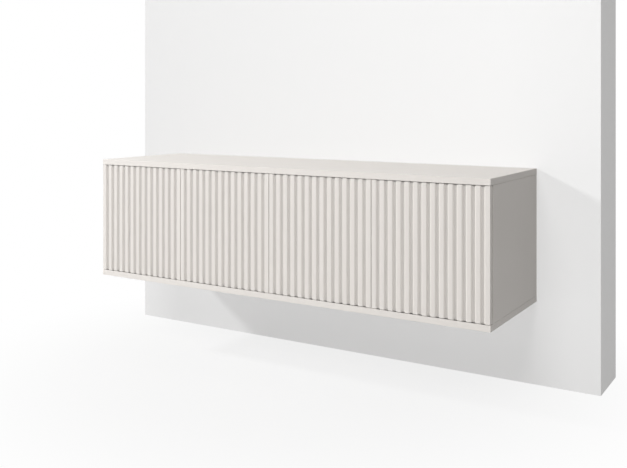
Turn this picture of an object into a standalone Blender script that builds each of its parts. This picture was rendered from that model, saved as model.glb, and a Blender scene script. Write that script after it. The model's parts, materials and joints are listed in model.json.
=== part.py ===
"""Wall-hung tv cabinet with four ribbed door leaves on concealed cup hinges.

Units are metres, +X runs to the right along the front, +Y to the wall and +Z up.
The origin is the centre of the underside. Each pair of leaves closes one compartment.
"""
import math

import bmesh
import bpy
from mathutils import Matrix, Vector

# Carcass
WIDTH = 1.400
DEPTH = 0.400
HEIGHT = 0.400
BOARD = 0.018            # thickness of every carcass board and shelf
CLEAR = 0.0003           # gap left between pieces that touch
BACK_BOARD = 0.003       # hardboard back
BACK_RECESS = 0.016      # from the wall to the back board
BACK_TONGUE = 0.007      # how far the back board enters its grooves
CABLE_HOLE_R = 0.030
CABLE_HOLE_Z = 0.110

# Door leaves
LEAVES = 4
LEAF = 0.018             # leaf thickness
LEAF_GAP = 0.002         # between neighbouring leaves
LEAF_END_GAP = 0.0012    # above and below a leaf
LEAF_STANDOFF = 0.002    # between a leaf and the edge of the board behind it
GROOVES = 13             # grooves milled in each leaf
GROOVE_DEPTH = 0.0043
GROOVE_MOUTH = 0.014
GROOVE_FLOOR = 0.0054
EDGE_RIB = 0.0136        # flat rib left at both edges of a leaf

# Cup hinges. Plan positions are (a, b): a from the cup's axis towards the middle of the leaf,
# b from the back face of the leaf into the cabinet.
CUP_RIM = 0.004          # from the leaf's hinge edge to the rim of the cup
CUP_R = 0.0175
CUP_WALL = 0.0012
CUP_DEPTH = 0.0115
CUP_FLOOR = 0.0010
CUP_SIDES = 16           # a multiple of four, so that the cup and its bore line up
FLANGE = 0.0010          # thickness of the cup's flange on the leaf
FLANGE_RIM = 0.0010      # how far the flange covers the leaf round the cup
EAR_INSET = 0.0080       # from the cup's rim to the middle of the ears
EAR_W = 0.0130
EAR_SCREW = 0.0050       # from the cup's rim to an ear's screw
EAR_TIP = 0.0055         # from an ear's screw to its tip
NOTCH_DEPTH = 0.0040     # opening in the cup's rim for the links
CUP_PIN_OUTER = (-0.0123, -0.0070)
CUP_PIN_INNER = (-0.0085, -0.0070)
ARM_PIN_OUTER = (0.0040, 0.0160)
ARM_PIN_INNER = (0.0124, 0.0053)
OUTER_CUP_BENDS = ((0.0043, -0.0011), (0.0088, -0.0012))
OUTER_ARM_BENDS = ((-0.0043, -0.0210), (-0.0025, -0.0160))
INNER_CUP_BENDS = ((0.0070, -0.0002), (0.0120, 0.0010))
INNER_ARM_BENDS = ((-0.0044, -0.0068),)
PIN_R = 0.0010
PIN_SIDES = 6
EYE_R = 0.0022           # outer radius of a link's eye on the arm
CUP_EYE_R = 0.0019       # and of its eye in the cup
LINK_HALF = 0.0011       # half the width of a link between its eyes
INNER_LINK = 0.0052      # height of the inner link
LINK_LOW, LINK_HIGH = 0.0032, 0.0050     # the outer link's plates, from the hinge's middle
ARM_CHEEK = 0.0017       # thickness of the arm's cheeks
ARM_NOSE_R = 0.0024
ARM_WEB = 0.0045         # from the outer pin to the arm's sides
ARM_LENGTH = 0.044       # from the outer pin to the end of the arm
PLATE = 0.0030           # thickness of the mounting plate
PLATE_SETBACK = 0.037    # from the board's front edge to the plate's screws
PLATE_BAR = (0.034, 0.018)     # length and height of the plate's middle bar
PLATE_WING = (0.016, 0.044)    # length and height of the plate's wings
PLATE_SCREWS = 0.032     # between the plate's two screws
HINGE_FROM_END = 0.0808   # from the leaf's end to the middle of a hinge
PIVOT_MARK = 0.020       # drawn size of the empties on the hinges' axes

# Screws
SCREW_HEAD_R = 0.0034
SCREW_HEAD = 0.0014
SCREW_SHANK_R = 0.0015
SCREW_IN = 0.0080        # how far a screw goes into a board

# Push latches, one for each leaf
LATCH_FROM_EDGE = 0.030  # from the leaf's free edge
LATCH_BODY = (0.016, 0.060, 0.016)
LATCH_SETBACK = 0.006    # from the leaf's back face to the latch
LATCH_EAR = (0.034, 0.012, 0.0025)
LATCH_SCREWS = 0.026
PLUNGER_R = 0.0040
PLUNGER = 0.045

# Shelves
SHELF_Z = 0.200          # middle of the shelf
SHELF_SETBACK = 0.030    # behind the front edges of the boards
SHELF_END_PLAY = 0.001
PEG_R = 0.0025
PEG_IN = 0.0075
PEG_OUT = 0.0090
PEG_ROWS = (0.070, 0.300)      # from the boards' front edges
PEG_PITCH = 0.032
PEG_SINK = 0.0005        # of a peg's round into the shelf

# Flat-pack joints between the uprights and the flat boards
CAM_R = 0.0075
CAM_DEPTH = 0.0125
CAM_FROM_END = 0.024
CAM_ROWS = (0.045, 0.270)      # from the boards' front edges
BOLT_R = 0.0030
DOWEL_R = 0.0040
DOWEL_ROWS = (0.095, 0.230)
PIN_IN = 0.0100          # how far bolts and dowels go into a flat board

# Hanging hardware
HANGER = (0.018, 0.055, 0.050)
HOOK_W = 0.012
HOOK_T = 0.0030
HOOK_DROP = 0.011        # of the hook's tip, from the top of the rail's lip
HOOK_IN = 0.020          # how far the hook reaches into the hanger
LIP_DROP = 0.0197        # from the underside of the top board to the top of the rail's lip
HOOK_PLAY = 0.003        # round the hook, in the back board
RAIL_T = 0.0020
RAIL_FLANGE = 0.032
RAIL_LIP = 0.012
RAIL_STEP = 0.0080       # from the wall to the back of the lip
RAIL_END = 0.004         # between the rail and the side boards
RAIL_HOLES = 5
RAIL_HOLE_R = 0.0035
RAIL_HOLE_END = 0.040    # from the end of the rail to its first hole
BOSS_R = 0.0050
BOSS_IN = 0.0080
BOSS_PITCH = 0.028

# Limits that the sizes above lead to
FRONT, BACK = -DEPTH / 2, DEPTH / 2
INNER_X = WIDTH / 2 - BOARD
EDGE_Y = FRONT + LEAF + LEAF_STANDOFF          # front edges of the upright boards
LOW_Z, HIGH_Z = BOARD, HEIGHT - BOARD          # faces that the uprights stand between
BACK_Y = BACK - BACK_RECESS - BACK_BOARD       # front face of the back board
MODULE = WIDTH / LEAVES
LEAF_W = MODULE - LEAF_GAP
LEAF_LOW, LEAF_HIGH = LOW_Z + LEAF_END_GAP, HIGH_Z - LEAF_END_GAP
HINGES = (("lower", LEAF_LOW + HINGE_FROM_END), ("upper", LEAF_HIGH - HINGE_FROM_END))
CUP_U = CUP_RIM + CUP_R
ARM_HALF = LINK_HIGH + CLEAR + ARM_CHEEK
LATCH_Z = HIGH_Z - CLEAR - LATCH_BODY[2] / 2
LIP_TOP = HIGH_Z - LIP_DROP
PEG_Z = SHELF_Z - BOARD / 2 - PEG_R + PEG_SINK

CASHMERE = (0.742, 0.708, 0.672)
INSIDE = (0.720, 0.690, 0.655)
HARDBOARD = (0.700, 0.672, 0.640)
STEEL = (0.560, 0.555, 0.545)
GREY_PLASTIC = (0.520, 0.520, 0.520)
WHITE_PLASTIC = (0.780, 0.780, 0.770)

FINISHES = {
    "lacquer": (CASHMERE, 0.55, 0.0),
    "board": (INSIDE, 0.60, 0.0),
    "hardboard": (HARDBOARD, 0.70, 0.0),
    "steel": (STEEL, 0.35, 1.0),
    "grey_plastic": (GREY_PLASTIC, 0.50, 0.0),
    "white_plastic": (WHITE_PLASTIC, 0.45, 0.0),
}

# Turns for drawings: local x, y to world Y, Z; local z to world Y; local y to world Z
SIDEWAYS = Matrix(((0, 0, 1, 0), (1, 0, 0, 0), (0, 1, 0, 0), (0, 0, 0, 1)))
Z_TO_Y = Matrix.Rotation(-math.pi / 2, 4, "X")
Y_TO_Z = Matrix.Rotation(math.pi / 2, 4, "X")


def clear_scene():
    for obj in list(bpy.data.objects):
        bpy.data.objects.remove(obj, do_unlink=True)


def new_collection(name):
    collection = bpy.data.collections.new(name)
    bpy.context.scene.collection.children.link(collection)
    return collection


def new_material(name, finish):
    colour, roughness, metallic = FINISHES[finish]
    material = bpy.data.materials.new(name)
    material.use_nodes = True
    surface = material.node_tree.nodes["Principled BSDF"]
    surface.inputs["Base Color"].default_value = (*colour, 1.0)
    surface.inputs["Roughness"].default_value = roughness
    surface.inputs["Metallic"].default_value = metallic
    material.diffuse_color = (*colour, 1.0)
    return material


def add_box(bm, low, high):
    low, high = Vector(low), Vector(high)
    size = high - low
    place = Matrix.Translation((low + high) / 2) @ Matrix.Diagonal((*size, 1.0))
    bmesh.ops.create_cube(bm, size=1.0, matrix=place)


def add_rod(bm, start, end, radius, sides):
    start, end = Vector(start), Vector(end)
    run = end - start
    turn = run.to_track_quat("Z", "Y").to_matrix().to_4x4()
    place = Matrix.Translation((start + end) / 2) @ turn
    bmesh.ops.create_cone(bm, cap_ends=True, segments=sides, radius1=radius, radius2=radius,
                          depth=run.length, matrix=place)


def stamp(bm, mesh, place):
    """Add a copy of a mesh to the bmesh, moved by a matrix."""
    copy = mesh.copy()
    copy.transform(place)
    bm.from_mesh(copy)
    bpy.data.meshes.remove(copy)


def evaluated_mesh(obj):
    """The finished mesh of a temporary object, with its loose caps welded."""
    bpy.context.scene.collection.objects.link(obj)
    bpy.context.view_layer.update()
    mesh = bpy.data.meshes.new_from_object(obj.evaluated_get(bpy.context.evaluated_depsgraph_get()))
    bpy.data.objects.remove(obj, do_unlink=True)
    bm = bmesh.new()
    bm.from_mesh(mesh)
    bmesh.ops.remove_doubles(bm, verts=bm.verts, dist=0.000001)
    bmesh.ops.recalc_face_normals(bm, faces=bm.faces)
    bm.to_mesh(mesh)
    bm.free()
    return mesh


def outline_mesh(loops, thickness):
    """A flat outline, with any holes, given a thickness about its own plane."""
    curve = bpy.data.curves.new("outline", "CURVE")
    curve.dimensions = "2D"
    curve.fill_mode = "BOTH"
    curve.extrude = thickness / 2
    for loop in loops:
        spline = curve.splines.new("POLY")
        spline.points.add(len(loop) - 1)
        for point, (x, y) in zip(spline.points, loop):
            point.co = (x, y, 0.0, 1.0)
        spline.use_cyclic_u = True
    return evaluated_mesh(bpy.data.objects.new("outline", curve))


def turned_mesh(profile, sides):
    """A profile of (radius, height) points, top to bottom, turned about Z."""
    mesh = bpy.data.meshes.new("profile")
    verts = [(radius, 0.0, height) for radius, height in profile]
    mesh.from_pydata(verts, [(i, i + 1) for i in range(len(verts) - 1)], [])
    obj = bpy.data.objects.new("profile", mesh)
    turn = obj.modifiers.new("turn", "SCREW")
    turn.steps = turn.render_steps = sides
    turn.use_merge_vertices = True
    turn.merge_threshold = 0.000001
    return evaluated_mesh(obj)


def arc(centre, radius, start, end, steps):
    turns = [start + (end - start) * i / steps for i in range(steps + 1)]
    return [(centre[0] + radius * math.cos(t), centre[1] + radius * math.sin(t)) for t in turns]


def circle(centre, radius, sides):
    return arc(centre, radius, 0.0, 2 * math.pi, sides)[:-1]


def strap(path, half_widths, cap_steps=4):
    """Outline of a bent bar with round ends, from its middle line and half widths."""
    points = [Vector(p) for p in path]
    runs = [(b - a).normalized() for a, b in zip(points, points[1:])]
    left, right = [], []
    for i, (point, half) in enumerate(zip(points, half_widths)):
        before, after = runs[max(i - 1, 0)], runs[min(i, len(runs) - 1)]
        along = (before + after).normalized()
        reach = half / max(along.dot(after), 0.5)
        normal = Vector((-along.y, along.x))
        left.append(point + normal * reach)
        right.append(point - normal * reach)

    def cap(centre, start, half, turn):
        angle = math.atan2(start.y - centre.y, start.x - centre.x)
        steps = [angle + turn * math.pi * i / cap_steps for i in range(1, cap_steps)]
        return [centre + half * Vector((math.cos(t), math.sin(t))) for t in steps]

    far = cap(points[-1], left[-1], half_widths[-1], -1)
    near = cap(points[0], right[0], half_widths[0], -1)
    return [tuple(p) for p in left + far + right[::-1] + near]


def make(name, bm, finish, pivot=None):
    """Turn a bmesh drawn in world coordinates into a named piece.

    A moving piece takes its pivot's place as origin, and any other its own middle.
    """
    if pivot is None:
        low = Vector([min(v.co[i] for v in bm.verts) for i in range(3)])
        high = Vector([max(v.co[i] for v in bm.verts) for i in range(3)])
        origin = (low + high) / 2
    else:
        origin = pivot["point"]
    bmesh.ops.translate(bm, verts=bm.verts, vec=-origin)
    mesh = bpy.data.meshes.new(name)
    bm.to_mesh(mesh)
    bm.free()
    mesh.shade_smooth()
    mesh.set_sharp_from_angle(angle=math.radians(35))
    obj = bpy.data.objects.new(name, mesh)
    if pivot is None:
        obj.location = origin
    else:
        obj.parent = pivot["empty"]
    if finish is None:
        obj.hide_render = True
        obj.display_type = "WIRE"
        CUTTERS.objects.link(obj)
    else:
        mesh.materials.append(new_material(name, finish))
        CABINET.objects.link(obj)
    return obj


def make_tool(name, bm, pivot=None):
    return make(name, bm, None, pivot)


def combine(obj, tool, operation, solver="EXACT"):
    step = obj.modifiers.new(operation.lower() + "_" + tool.name, "BOOLEAN")
    step.operation = operation
    step.solver = solver
    step.object = tool


def new_pivot(name, x, y, parent=None):
    """An empty on a vertical joint axis at mid height; its children turn about it."""
    empty = bpy.data.objects.new(name, None)
    empty.empty_display_size = PIVOT_MARK
    CABINET.objects.link(empty)
    point = Vector((x, y, HEIGHT / 2))
    empty.location = point
    if parent is not None:
        empty.parent = parent["empty"]
        empty.location = point - parent["point"]
    return {"empty": empty, "point": point}


class Leaf:
    """One door leaf's place: its hinge edge, the way it runs, and the board that carries it."""

    def __init__(self, index):
        self.number = index + 1
        left = -WIDTH / 2 + index * MODULE + LEAF_GAP / 2
        self.low_x, self.high_x = left, left + LEAF_W
        self.way = 1 if index % 2 == 0 else -1
        self.hinge_x = self.low_x if self.way == 1 else self.high_x
        self.free_x = self.high_x if self.way == 1 else self.low_x
        on_side = index in (0, LEAVES - 1)
        cover = BOARD if on_side else BOARD / 2
        self.panel_a = cover - LEAF_GAP / 2 - CUP_U      # face of the carrying board
        self.name = f"door_{self.number}"

    def x(self, a):
        return self.hinge_x + self.way * (CUP_U + a)

    def y(self, b):
        return FRONT + LEAF + b

    def plan(self, points):
        """Plan points from (a, b) to world x, y."""
        return [(self.x(a), self.y(b)) for a, b in points]


def plan_box(bm, leaf, a_span, b_span, z, half_height):
    """A box across a hinge, given by its limits in the leaf's plan."""
    x_span = sorted((leaf.x(a_span[0]), leaf.x(a_span[1])))
    add_box(bm, (x_span[0], leaf.y(b_span[0]), z - half_height),
            (x_span[1], leaf.y(b_span[1]), z + half_height))


LEAF_LIST = [Leaf(i) for i in range(LEAVES)]
# Uprights: name, middle x, and the side on which the cams are bored
UPRIGHTS = (("left_side", -WIDTH / 2 + BOARD / 2, 1), ("centre_partition", 0.0, -1),
            ("right_side", WIDTH / 2 - BOARD / 2, -1))


JOINTS = ((LOW_Z, -1), (HIGH_Z, 1))    # where the uprights meet the flat boards, and the way out


def board_rows(rows):
    return [EDGE_Y + row for row in rows]


def end_pins(bm, x, gap):
    """Cam bolts and dowels at both ends of an upright, or with a gap the holes that they fit."""
    for rows, radius in ((CAM_ROWS, BOLT_R), (DOWEL_ROWS, DOWEL_R)):
        for y in board_rows(rows):
            for end, out in JOINTS:
                add_rod(bm, (x, y, end - out * BOARD / 2), (x, y, end + out * (PIN_IN + gap)),
                        radius + gap, 8)


def flat_boards():
    for name, low, face, out in (("bottom_board", 0.0, LOW_Z, -1), ("top_board", HIGH_Z, HIGH_Z, 1)):
        bm, cuts = bmesh.new(), bmesh.new()
        add_box(bm, (-WIDTH / 2, FRONT, low), (WIDTH / 2, BACK, low + BOARD))
        for _, x, _ in UPRIGHTS:
            end_pins(cuts, x, CLEAR)
        half = INNER_X + BACK_TONGUE + CLEAR
        groove = sorted((face - out * BOARD, face + out * (BACK_TONGUE + CLEAR)))
        add_box(cuts, (-half, BACK_Y - CLEAR, groove[0]), (half, BACK_Y + BACK_BOARD + CLEAR, groove[1]))
        if out > 0:
            for x, y in [point for leaf in LEAF_LIST for point in latch_screw_points(leaf)]:
                add_rod(cuts, (x, y, face - BOARD), (x, y, face + SCREW_IN + CLEAR), SCREW_SHANK_R + CLEAR, 6)
        board = make(name, bm, "lacquer")
        combine(board, make_tool(name + "_cuts", cuts), "DIFFERENCE")


def uprights():
    """Side boards and centre partition: bores for cams, pegs, hinges and hangers, and their end pins."""
    for name, x, cam_way in UPRIGHTS:
        on_side = name != "centre_partition"
        rear = BACK if on_side else BACK_Y - CLEAR
        bm, bores, pins = bmesh.new(), bmesh.new(), bmesh.new()
        add_box(bm, (x - BOARD / 2, EDGE_Y, LOW_Z + CLEAR), (x + BOARD / 2, rear, HIGH_Z - CLEAR))

        def bore(y, z, way, depth, radius, sides):
            face = x + way * BOARD / 2
            add_rod(bores, (face + way * BOARD / 2, y, z), (face - way * (depth + CLEAR), y, z),
                    radius + CLEAR, sides)

        for way in (cam_way,) if on_side else (-1, 1):
            for y in board_rows(PEG_ROWS):
                for step in (-1, 0, 1):
                    bore(y, PEG_Z + step * PEG_PITCH, way, PEG_IN, PEG_R, 8)
        for y in board_rows(CAM_ROWS):
            for end, out in JOINTS:
                bore(y, end - out * CAM_FROM_END, cam_way, CAM_DEPTH, CAM_R, 12)
        for leaf in LEAF_LIST:
            if abs(leaf.x(leaf.panel_a) - x) < BOARD:
                for y, z in plate_screw_points():
                    bore(y, z, leaf.way, SCREW_IN, SCREW_SHANK_R, 6)
        if on_side:
            for y, z in boss_points():
                bore(y, z, cam_way, BOSS_IN, BOSS_R, 8)
            span = sorted((x + cam_way * BOARD, x + cam_way * (BOARD / 2 - BACK_TONGUE - CLEAR)))
            add_box(bores, (span[0], BACK_Y - CLEAR, 0), (span[1], BACK_Y + BACK_BOARD + CLEAR, HEIGHT))
        end_pins(pins, x, 0.0)
        board = make(name, bm, "board")
        combine(board, make_tool(name + "_bores", bores), "DIFFERENCE")
        combine(board, make_tool(name + "_end_pins", pins), "UNION")


def back_board():
    low, high = BACK_Y, BACK_Y + BACK_BOARD
    bm = bmesh.new()
    add_box(bm, (-INNER_X - BACK_TONGUE, low, LOW_Z - BACK_TONGUE),
            (INNER_X + BACK_TONGUE, high, HIGH_Z + BACK_TONGUE))
    back = make("back_board", bm, "hardboard")
    holes = bmesh.new()
    for side in (-1, 1):
        x = side * (INNER_X + BOARD / 2) / 2
        add_rod(holes, (x, low - BOARD, CABLE_HOLE_Z), (x, high + BOARD, CABLE_HOLE_Z), CABLE_HOLE_R, 20)
        middle = side * (INNER_X - CLEAR - HANGER[0] / 2)
        add_box(holes, (middle - HOOK_W / 2 - HOOK_PLAY, low - BOARD, LIP_TOP - HOOK_DROP - HOOK_PLAY),
                (middle + HOOK_W / 2 + HOOK_PLAY, high + BOARD, LIP_TOP + HOOK_T + HOOK_PLAY))
    combine(back, make_tool("back_board_holes", holes), "DIFFERENCE")


def shelves():
    """Shelves, each with the four pegs that it rests on."""
    for name, side in (("left_shelf", -1), ("right_shelf", 1)):
        near, far = side * BOARD / 2, side * INNER_X
        bm, pegs = bmesh.new(), bmesh.new()
        add_box(bm, (min(near, far) + SHELF_END_PLAY, EDGE_Y + SHELF_SETBACK, SHELF_Z - BOARD / 2),
                (max(near, far) - SHELF_END_PLAY, BACK_Y - SHELF_END_PLAY, SHELF_Z + BOARD / 2))
        for face, way in ((near, side), (far, -side)):
            for y in board_rows(PEG_ROWS):
                add_rod(pegs, (face - way * PEG_IN, y, PEG_Z), (face + way * PEG_OUT, y, PEG_Z), PEG_R, 8)
        shelf = make(name, bm, "board")
        combine(shelf, make_tool(name + "_pegs", pegs), "UNION")


def leaf_outline(leaf):
    back, front, floor = FRONT + LEAF, FRONT, FRONT + GROOVE_DEPTH
    slope = (GROOVE_MOUTH - GROOVE_FLOOR) / 2
    pitch = (LEAF_W - 2 * EDGE_RIB - GROOVE_MOUTH) / (GROOVES - 1)
    points = [(leaf.high_x, back), (leaf.low_x, back), (leaf.low_x, front)]
    for i in range(GROOVES):
        start = leaf.low_x + EDGE_RIB + i * pitch
        points += [(start, front), (start + slope, floor),
                   (start + GROOVE_MOUTH - slope, floor), (start + GROOVE_MOUTH, front)]
    return points + [(leaf.high_x, front)]


def door_leaf(leaf, pivot):
    bm = bmesh.new()
    shape = outline_mesh([leaf_outline(leaf)], LEAF_HIGH - LEAF_LOW)
    stamp(bm, shape, Matrix.Translation((0, 0, HEIGHT / 2)))
    door = make(leaf.name, bm, "lacquer", pivot)
    bores = bmesh.new()
    for _, z in HINGES:
        add_rod(bores, (leaf.x(0), leaf.y(LEAF), z), (leaf.x(0), leaf.y(-CUP_DEPTH - CLEAR), z),
                CUP_R + CLEAR, CUP_SIDES)
        for x, screw_z in flange_screw_points(leaf, z):
            add_rod(bores, (x, leaf.y(LEAF), screw_z), (x, leaf.y(-SCREW_IN - CLEAR), screw_z),
                    SCREW_SHANK_R + CLEAR, 6)
    combine(door, make_tool(leaf.name + "_bores", bores, pivot), "DIFFERENCE", "MANIFOLD")


def ear_middle():
    return CUP_R - EAR_INSET


def flange_screw_points(leaf, z):
    x, out = leaf.x(ear_middle()), CUP_R + EAR_SCREW
    return [(x, z - out), (x, z + out)]


def flange_loops(leaf):
    """The flange on the leaf's back: a ring round the cup with an ear above and one below."""
    collar, tip = CUP_R + FLANGE_RIM, CUP_R + EAR_SCREW + EAR_TIP
    near, far = ear_middle() - EAR_W / 2, ear_middle() + EAR_W / 2
    first, second = math.acos(near / collar), math.acos(far / collar)
    outline = arc((0, 0), collar, first, 2 * math.pi - first, 9)
    outline += [(near, -tip), (far, -tip)]
    outline += arc((0, 0), collar, -second, second, 2)
    outline += [(far, tip), (near, tip)]
    mouth = circle((0, 0), CUP_R - CUP_WALL / 2, CUP_SIDES)
    return [[(leaf.way * a, z) for a, z in loop] for loop in (outline, mouth)]


def hinge_cup(leaf, level, z, pivot):
    """A cup sunk in the leaf: flange, two screws, pins for the outer link, and a notch in its rim."""
    name = f"{leaf.name}_{level}_cup"
    inside, rim = CUP_R - CUP_WALL, CLEAR + FLANGE / 2
    cup, flange, notch, pins = (bmesh.new() for _ in range(4))
    pot = turned_mesh(((0.0, CUP_FLOOR - CUP_DEPTH), (inside, CUP_FLOOR - CUP_DEPTH), (inside, rim),
                       (CUP_R, rim), (CUP_R, -CUP_DEPTH), (0.0, -CUP_DEPTH)), CUP_SIDES)
    stamp(cup, pot, Matrix.Translation((leaf.x(0), leaf.y(0), z)) @ Z_TO_Y)
    stamp(flange, outline_mesh(flange_loops(leaf), FLANGE),
          Matrix.Translation((leaf.x(0), leaf.y(rim), z)) @ Y_TO_Z)
    plan_box(notch, leaf, (-2 * CUP_R, CUP_PIN_OUTER[0] - PIN_R - CLEAR), (-NOTCH_DEPTH, CUP_DEPTH),
             z, LINK_HIGH + CLEAR)
    pin_x, pin_y = leaf.plan([CUP_PIN_OUTER])[0]
    wall = math.sqrt((CUP_R - CUP_WALL / 2) ** 2 - CUP_PIN_OUTER[0] ** 2)
    for way in (-1, 1):
        add_rod(pins, (pin_x, pin_y, z + way * (INNER_LINK / 2 + CLEAR)), (pin_x, pin_y, z + way * wall),
                PIN_R, PIN_SIDES)
    screw = screw_mesh(CLEAR + FLANGE)
    for x, screw_z in flange_screw_points(leaf, z):
        stamp(pins, screw, Matrix.Translation((x, leaf.y(CLEAR + FLANGE), screw_z)) @ Z_TO_Y)
    obj = make(name, cup, "steel", pivot)
    for step, tool, operation in (("flange", flange, "UNION"), ("notch", notch, "DIFFERENCE"),
                                  ("pins", pins, "UNION")):
        combine(obj, make_tool(f"{name}_{step}", tool, pivot), operation, "MANIFOLD")


def link_bends(start, start_bends, end, end_bends):
    """A link's middle line: a pin, bends measured from it, bends measured from the other pin, that pin."""
    points = [start] + [(start[0] + a, start[1] + b) for a, b in start_bends]
    return points + [(end[0] + a, end[1] + b) for a, b in end_bends] + [end]


def link(name, leaf, z, path, half_height, pivot):
    """A bent strap with an eye at each end, drilled for its pins."""
    widths = [LINK_HALF for _ in path]
    widths[0], widths[-1] = CUP_EYE_R, EYE_R
    bm, holes = bmesh.new(), bmesh.new()
    shape = outline_mesh([leaf.plan(strap(path, widths))], 2 * half_height)
    stamp(bm, shape, Matrix.Translation((0, 0, z)))
    for x, y in leaf.plan((path[0], path[-1])):
        add_rod(holes, (x, y, z - 2 * half_height), (x, y, z + 2 * half_height), PIN_R + CLEAR, PIN_SIDES)
    obj = make(name, bm, "steel", pivot)
    combine(obj, make_tool(name + "_holes", holes, pivot), "DIFFERENCE")
    return obj


def outer_link(leaf, level, z, pivot):
    """Two plates, above and below the inner link, that meet at the eye on the arm's pin."""
    name = f"{leaf.name}_{level}_outer_link"
    path = link_bends(CUP_PIN_OUTER, OUTER_CUP_BENDS, ARM_PIN_OUTER, OUTER_ARM_BENDS)
    obj = link(name, leaf, z, path, LINK_HIGH, pivot)
    slot = bmesh.new()
    plan_box(slot, leaf, (-2 * CUP_R, 2 * CUP_R), (-CUP_DEPTH, ARM_PIN_OUTER[1] - EYE_R), z, LINK_LOW)
    combine(obj, make_tool(name + "_slot", slot, pivot), "DIFFERENCE")


def inner_link(leaf, level, z, pivot):
    path = link_bends(CUP_PIN_INNER, INNER_CUP_BENDS, ARM_PIN_INNER, INNER_ARM_BENDS)
    link(f"{leaf.name}_{level}_inner_link", leaf, z, path, INNER_LINK / 2, pivot)


def arm_outline(leaf):
    """The arm seen from above, from its end over the mounting plate round its nose and back."""
    (outer_a, outer_b), (inner_a, _) = ARM_PIN_OUTER, ARM_PIN_INNER
    base, end = leaf.panel_a + CLEAR + PLATE / 2, outer_b + ARM_LENGTH
    heel = outer_b + 2 * ARM_WEB
    points = [(base, end), (base, heel), (outer_a - ARM_WEB, heel - ARM_WEB)]
    points += [(outer_a - ARM_WEB * 0.7, outer_b - ARM_WEB * 0.6)]
    points += arc(ARM_PIN_INNER, ARM_NOSE_R, math.radians(223), math.radians(375), 4)
    points += [(inner_a, outer_b + ARM_WEB), (outer_a + ARM_WEB, heel), (outer_a + ARM_WEB, end)]
    return points


def hinge_arm(leaf, level, z):
    """An arm forked round the links, on its cross-shaped mounting plate with two screws."""
    name = f"{leaf.name}_{level}_arm"
    arm, fork, pins, plate, screws = (bmesh.new() for _ in range(5))
    shape = outline_mesh([leaf.plan(arm_outline(leaf))], 2 * ARM_HALF)
    stamp(arm, shape, Matrix.Translation((0, 0, z)))
    plan_box(fork, leaf, (-2 * CUP_R, 2 * CUP_R), (-CUP_DEPTH, ARM_PIN_OUTER[1] + EYE_R + CLEAR),
             z, LINK_HIGH + CLEAR)
    for x, y in leaf.plan((ARM_PIN_OUTER, ARM_PIN_INNER)):
        half = LINK_HIGH + CLEAR + ARM_CHEEK / 2
        add_rod(pins, (x, y, z - half), (x, y, z + half), PIN_R, PIN_SIDES)
    x = leaf.x(leaf.panel_a + CLEAR + PLATE / 2)
    cross = Matrix.Translation((x, EDGE_Y + PLATE_SETBACK, z)) @ SIDEWAYS
    stamp(plate, outline_mesh([plate_outline()], PLATE), cross)
    screw = screw_mesh(CLEAR + PLATE)
    turn = Matrix.Rotation(leaf.way * math.pi / 2, 4, "Y")
    for y, screw_z in plate_screw_points():
        if abs(screw_z - z) < PLATE_SCREWS:
            at = (leaf.x(leaf.panel_a + CLEAR + PLATE), y, screw_z)
            stamp(screws, screw, Matrix.Translation(at) @ turn)
    obj = make(name, arm, "steel")
    for step, tool, operation in (("fork", fork, "DIFFERENCE"), ("pins", pins, "UNION"),
                                  ("plate", plate, "UNION"), ("screws", screws, "UNION")):
        combine(obj, make_tool(f"{name}_{step}", tool), operation, "MANIFOLD")


def plate_outline():
    bar_l, bar_h = PLATE_BAR[0] / 2, PLATE_BAR[1] / 2
    wing_l, wing_h = PLATE_WING[0] / 2, PLATE_WING[1] / 2
    quarter = [(wing_l, wing_h), (wing_l, bar_h), (bar_l, bar_h)]
    back = quarter[::-1]
    return (quarter + [(y, -z) for y, z in back] + [(-y, -z) for y, z in quarter]
            + [(-y, z) for y, z in back])


def plate_screw_points():
    y = EDGE_Y + PLATE_SETBACK
    return [(y, z + way * PLATE_SCREWS / 2) for _, z in HINGES for way in (-1, 1)]


def screw_mesh(grip):
    """A pan-head screw along Z: its head on zero, its shank through the grip and into a board."""
    sink, low = -CLEAR, -grip - SCREW_IN
    return turned_mesh(((0.0, SCREW_HEAD), (SCREW_HEAD_R * 0.7, SCREW_HEAD), (SCREW_HEAD_R, sink),
                        (SCREW_SHANK_R, sink), (SCREW_SHANK_R, low), (0.0, low)), 6)


def latch_x(leaf):
    return leaf.free_x - leaf.way * LATCH_FROM_EDGE


def latch_screw_points(leaf):
    x, y = latch_x(leaf), leaf.y(LATCH_SETBACK + LATCH_BODY[1] / 2)
    return [(x - LATCH_SCREWS / 2, y), (x + LATCH_SCREWS / 2, y)]


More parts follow.
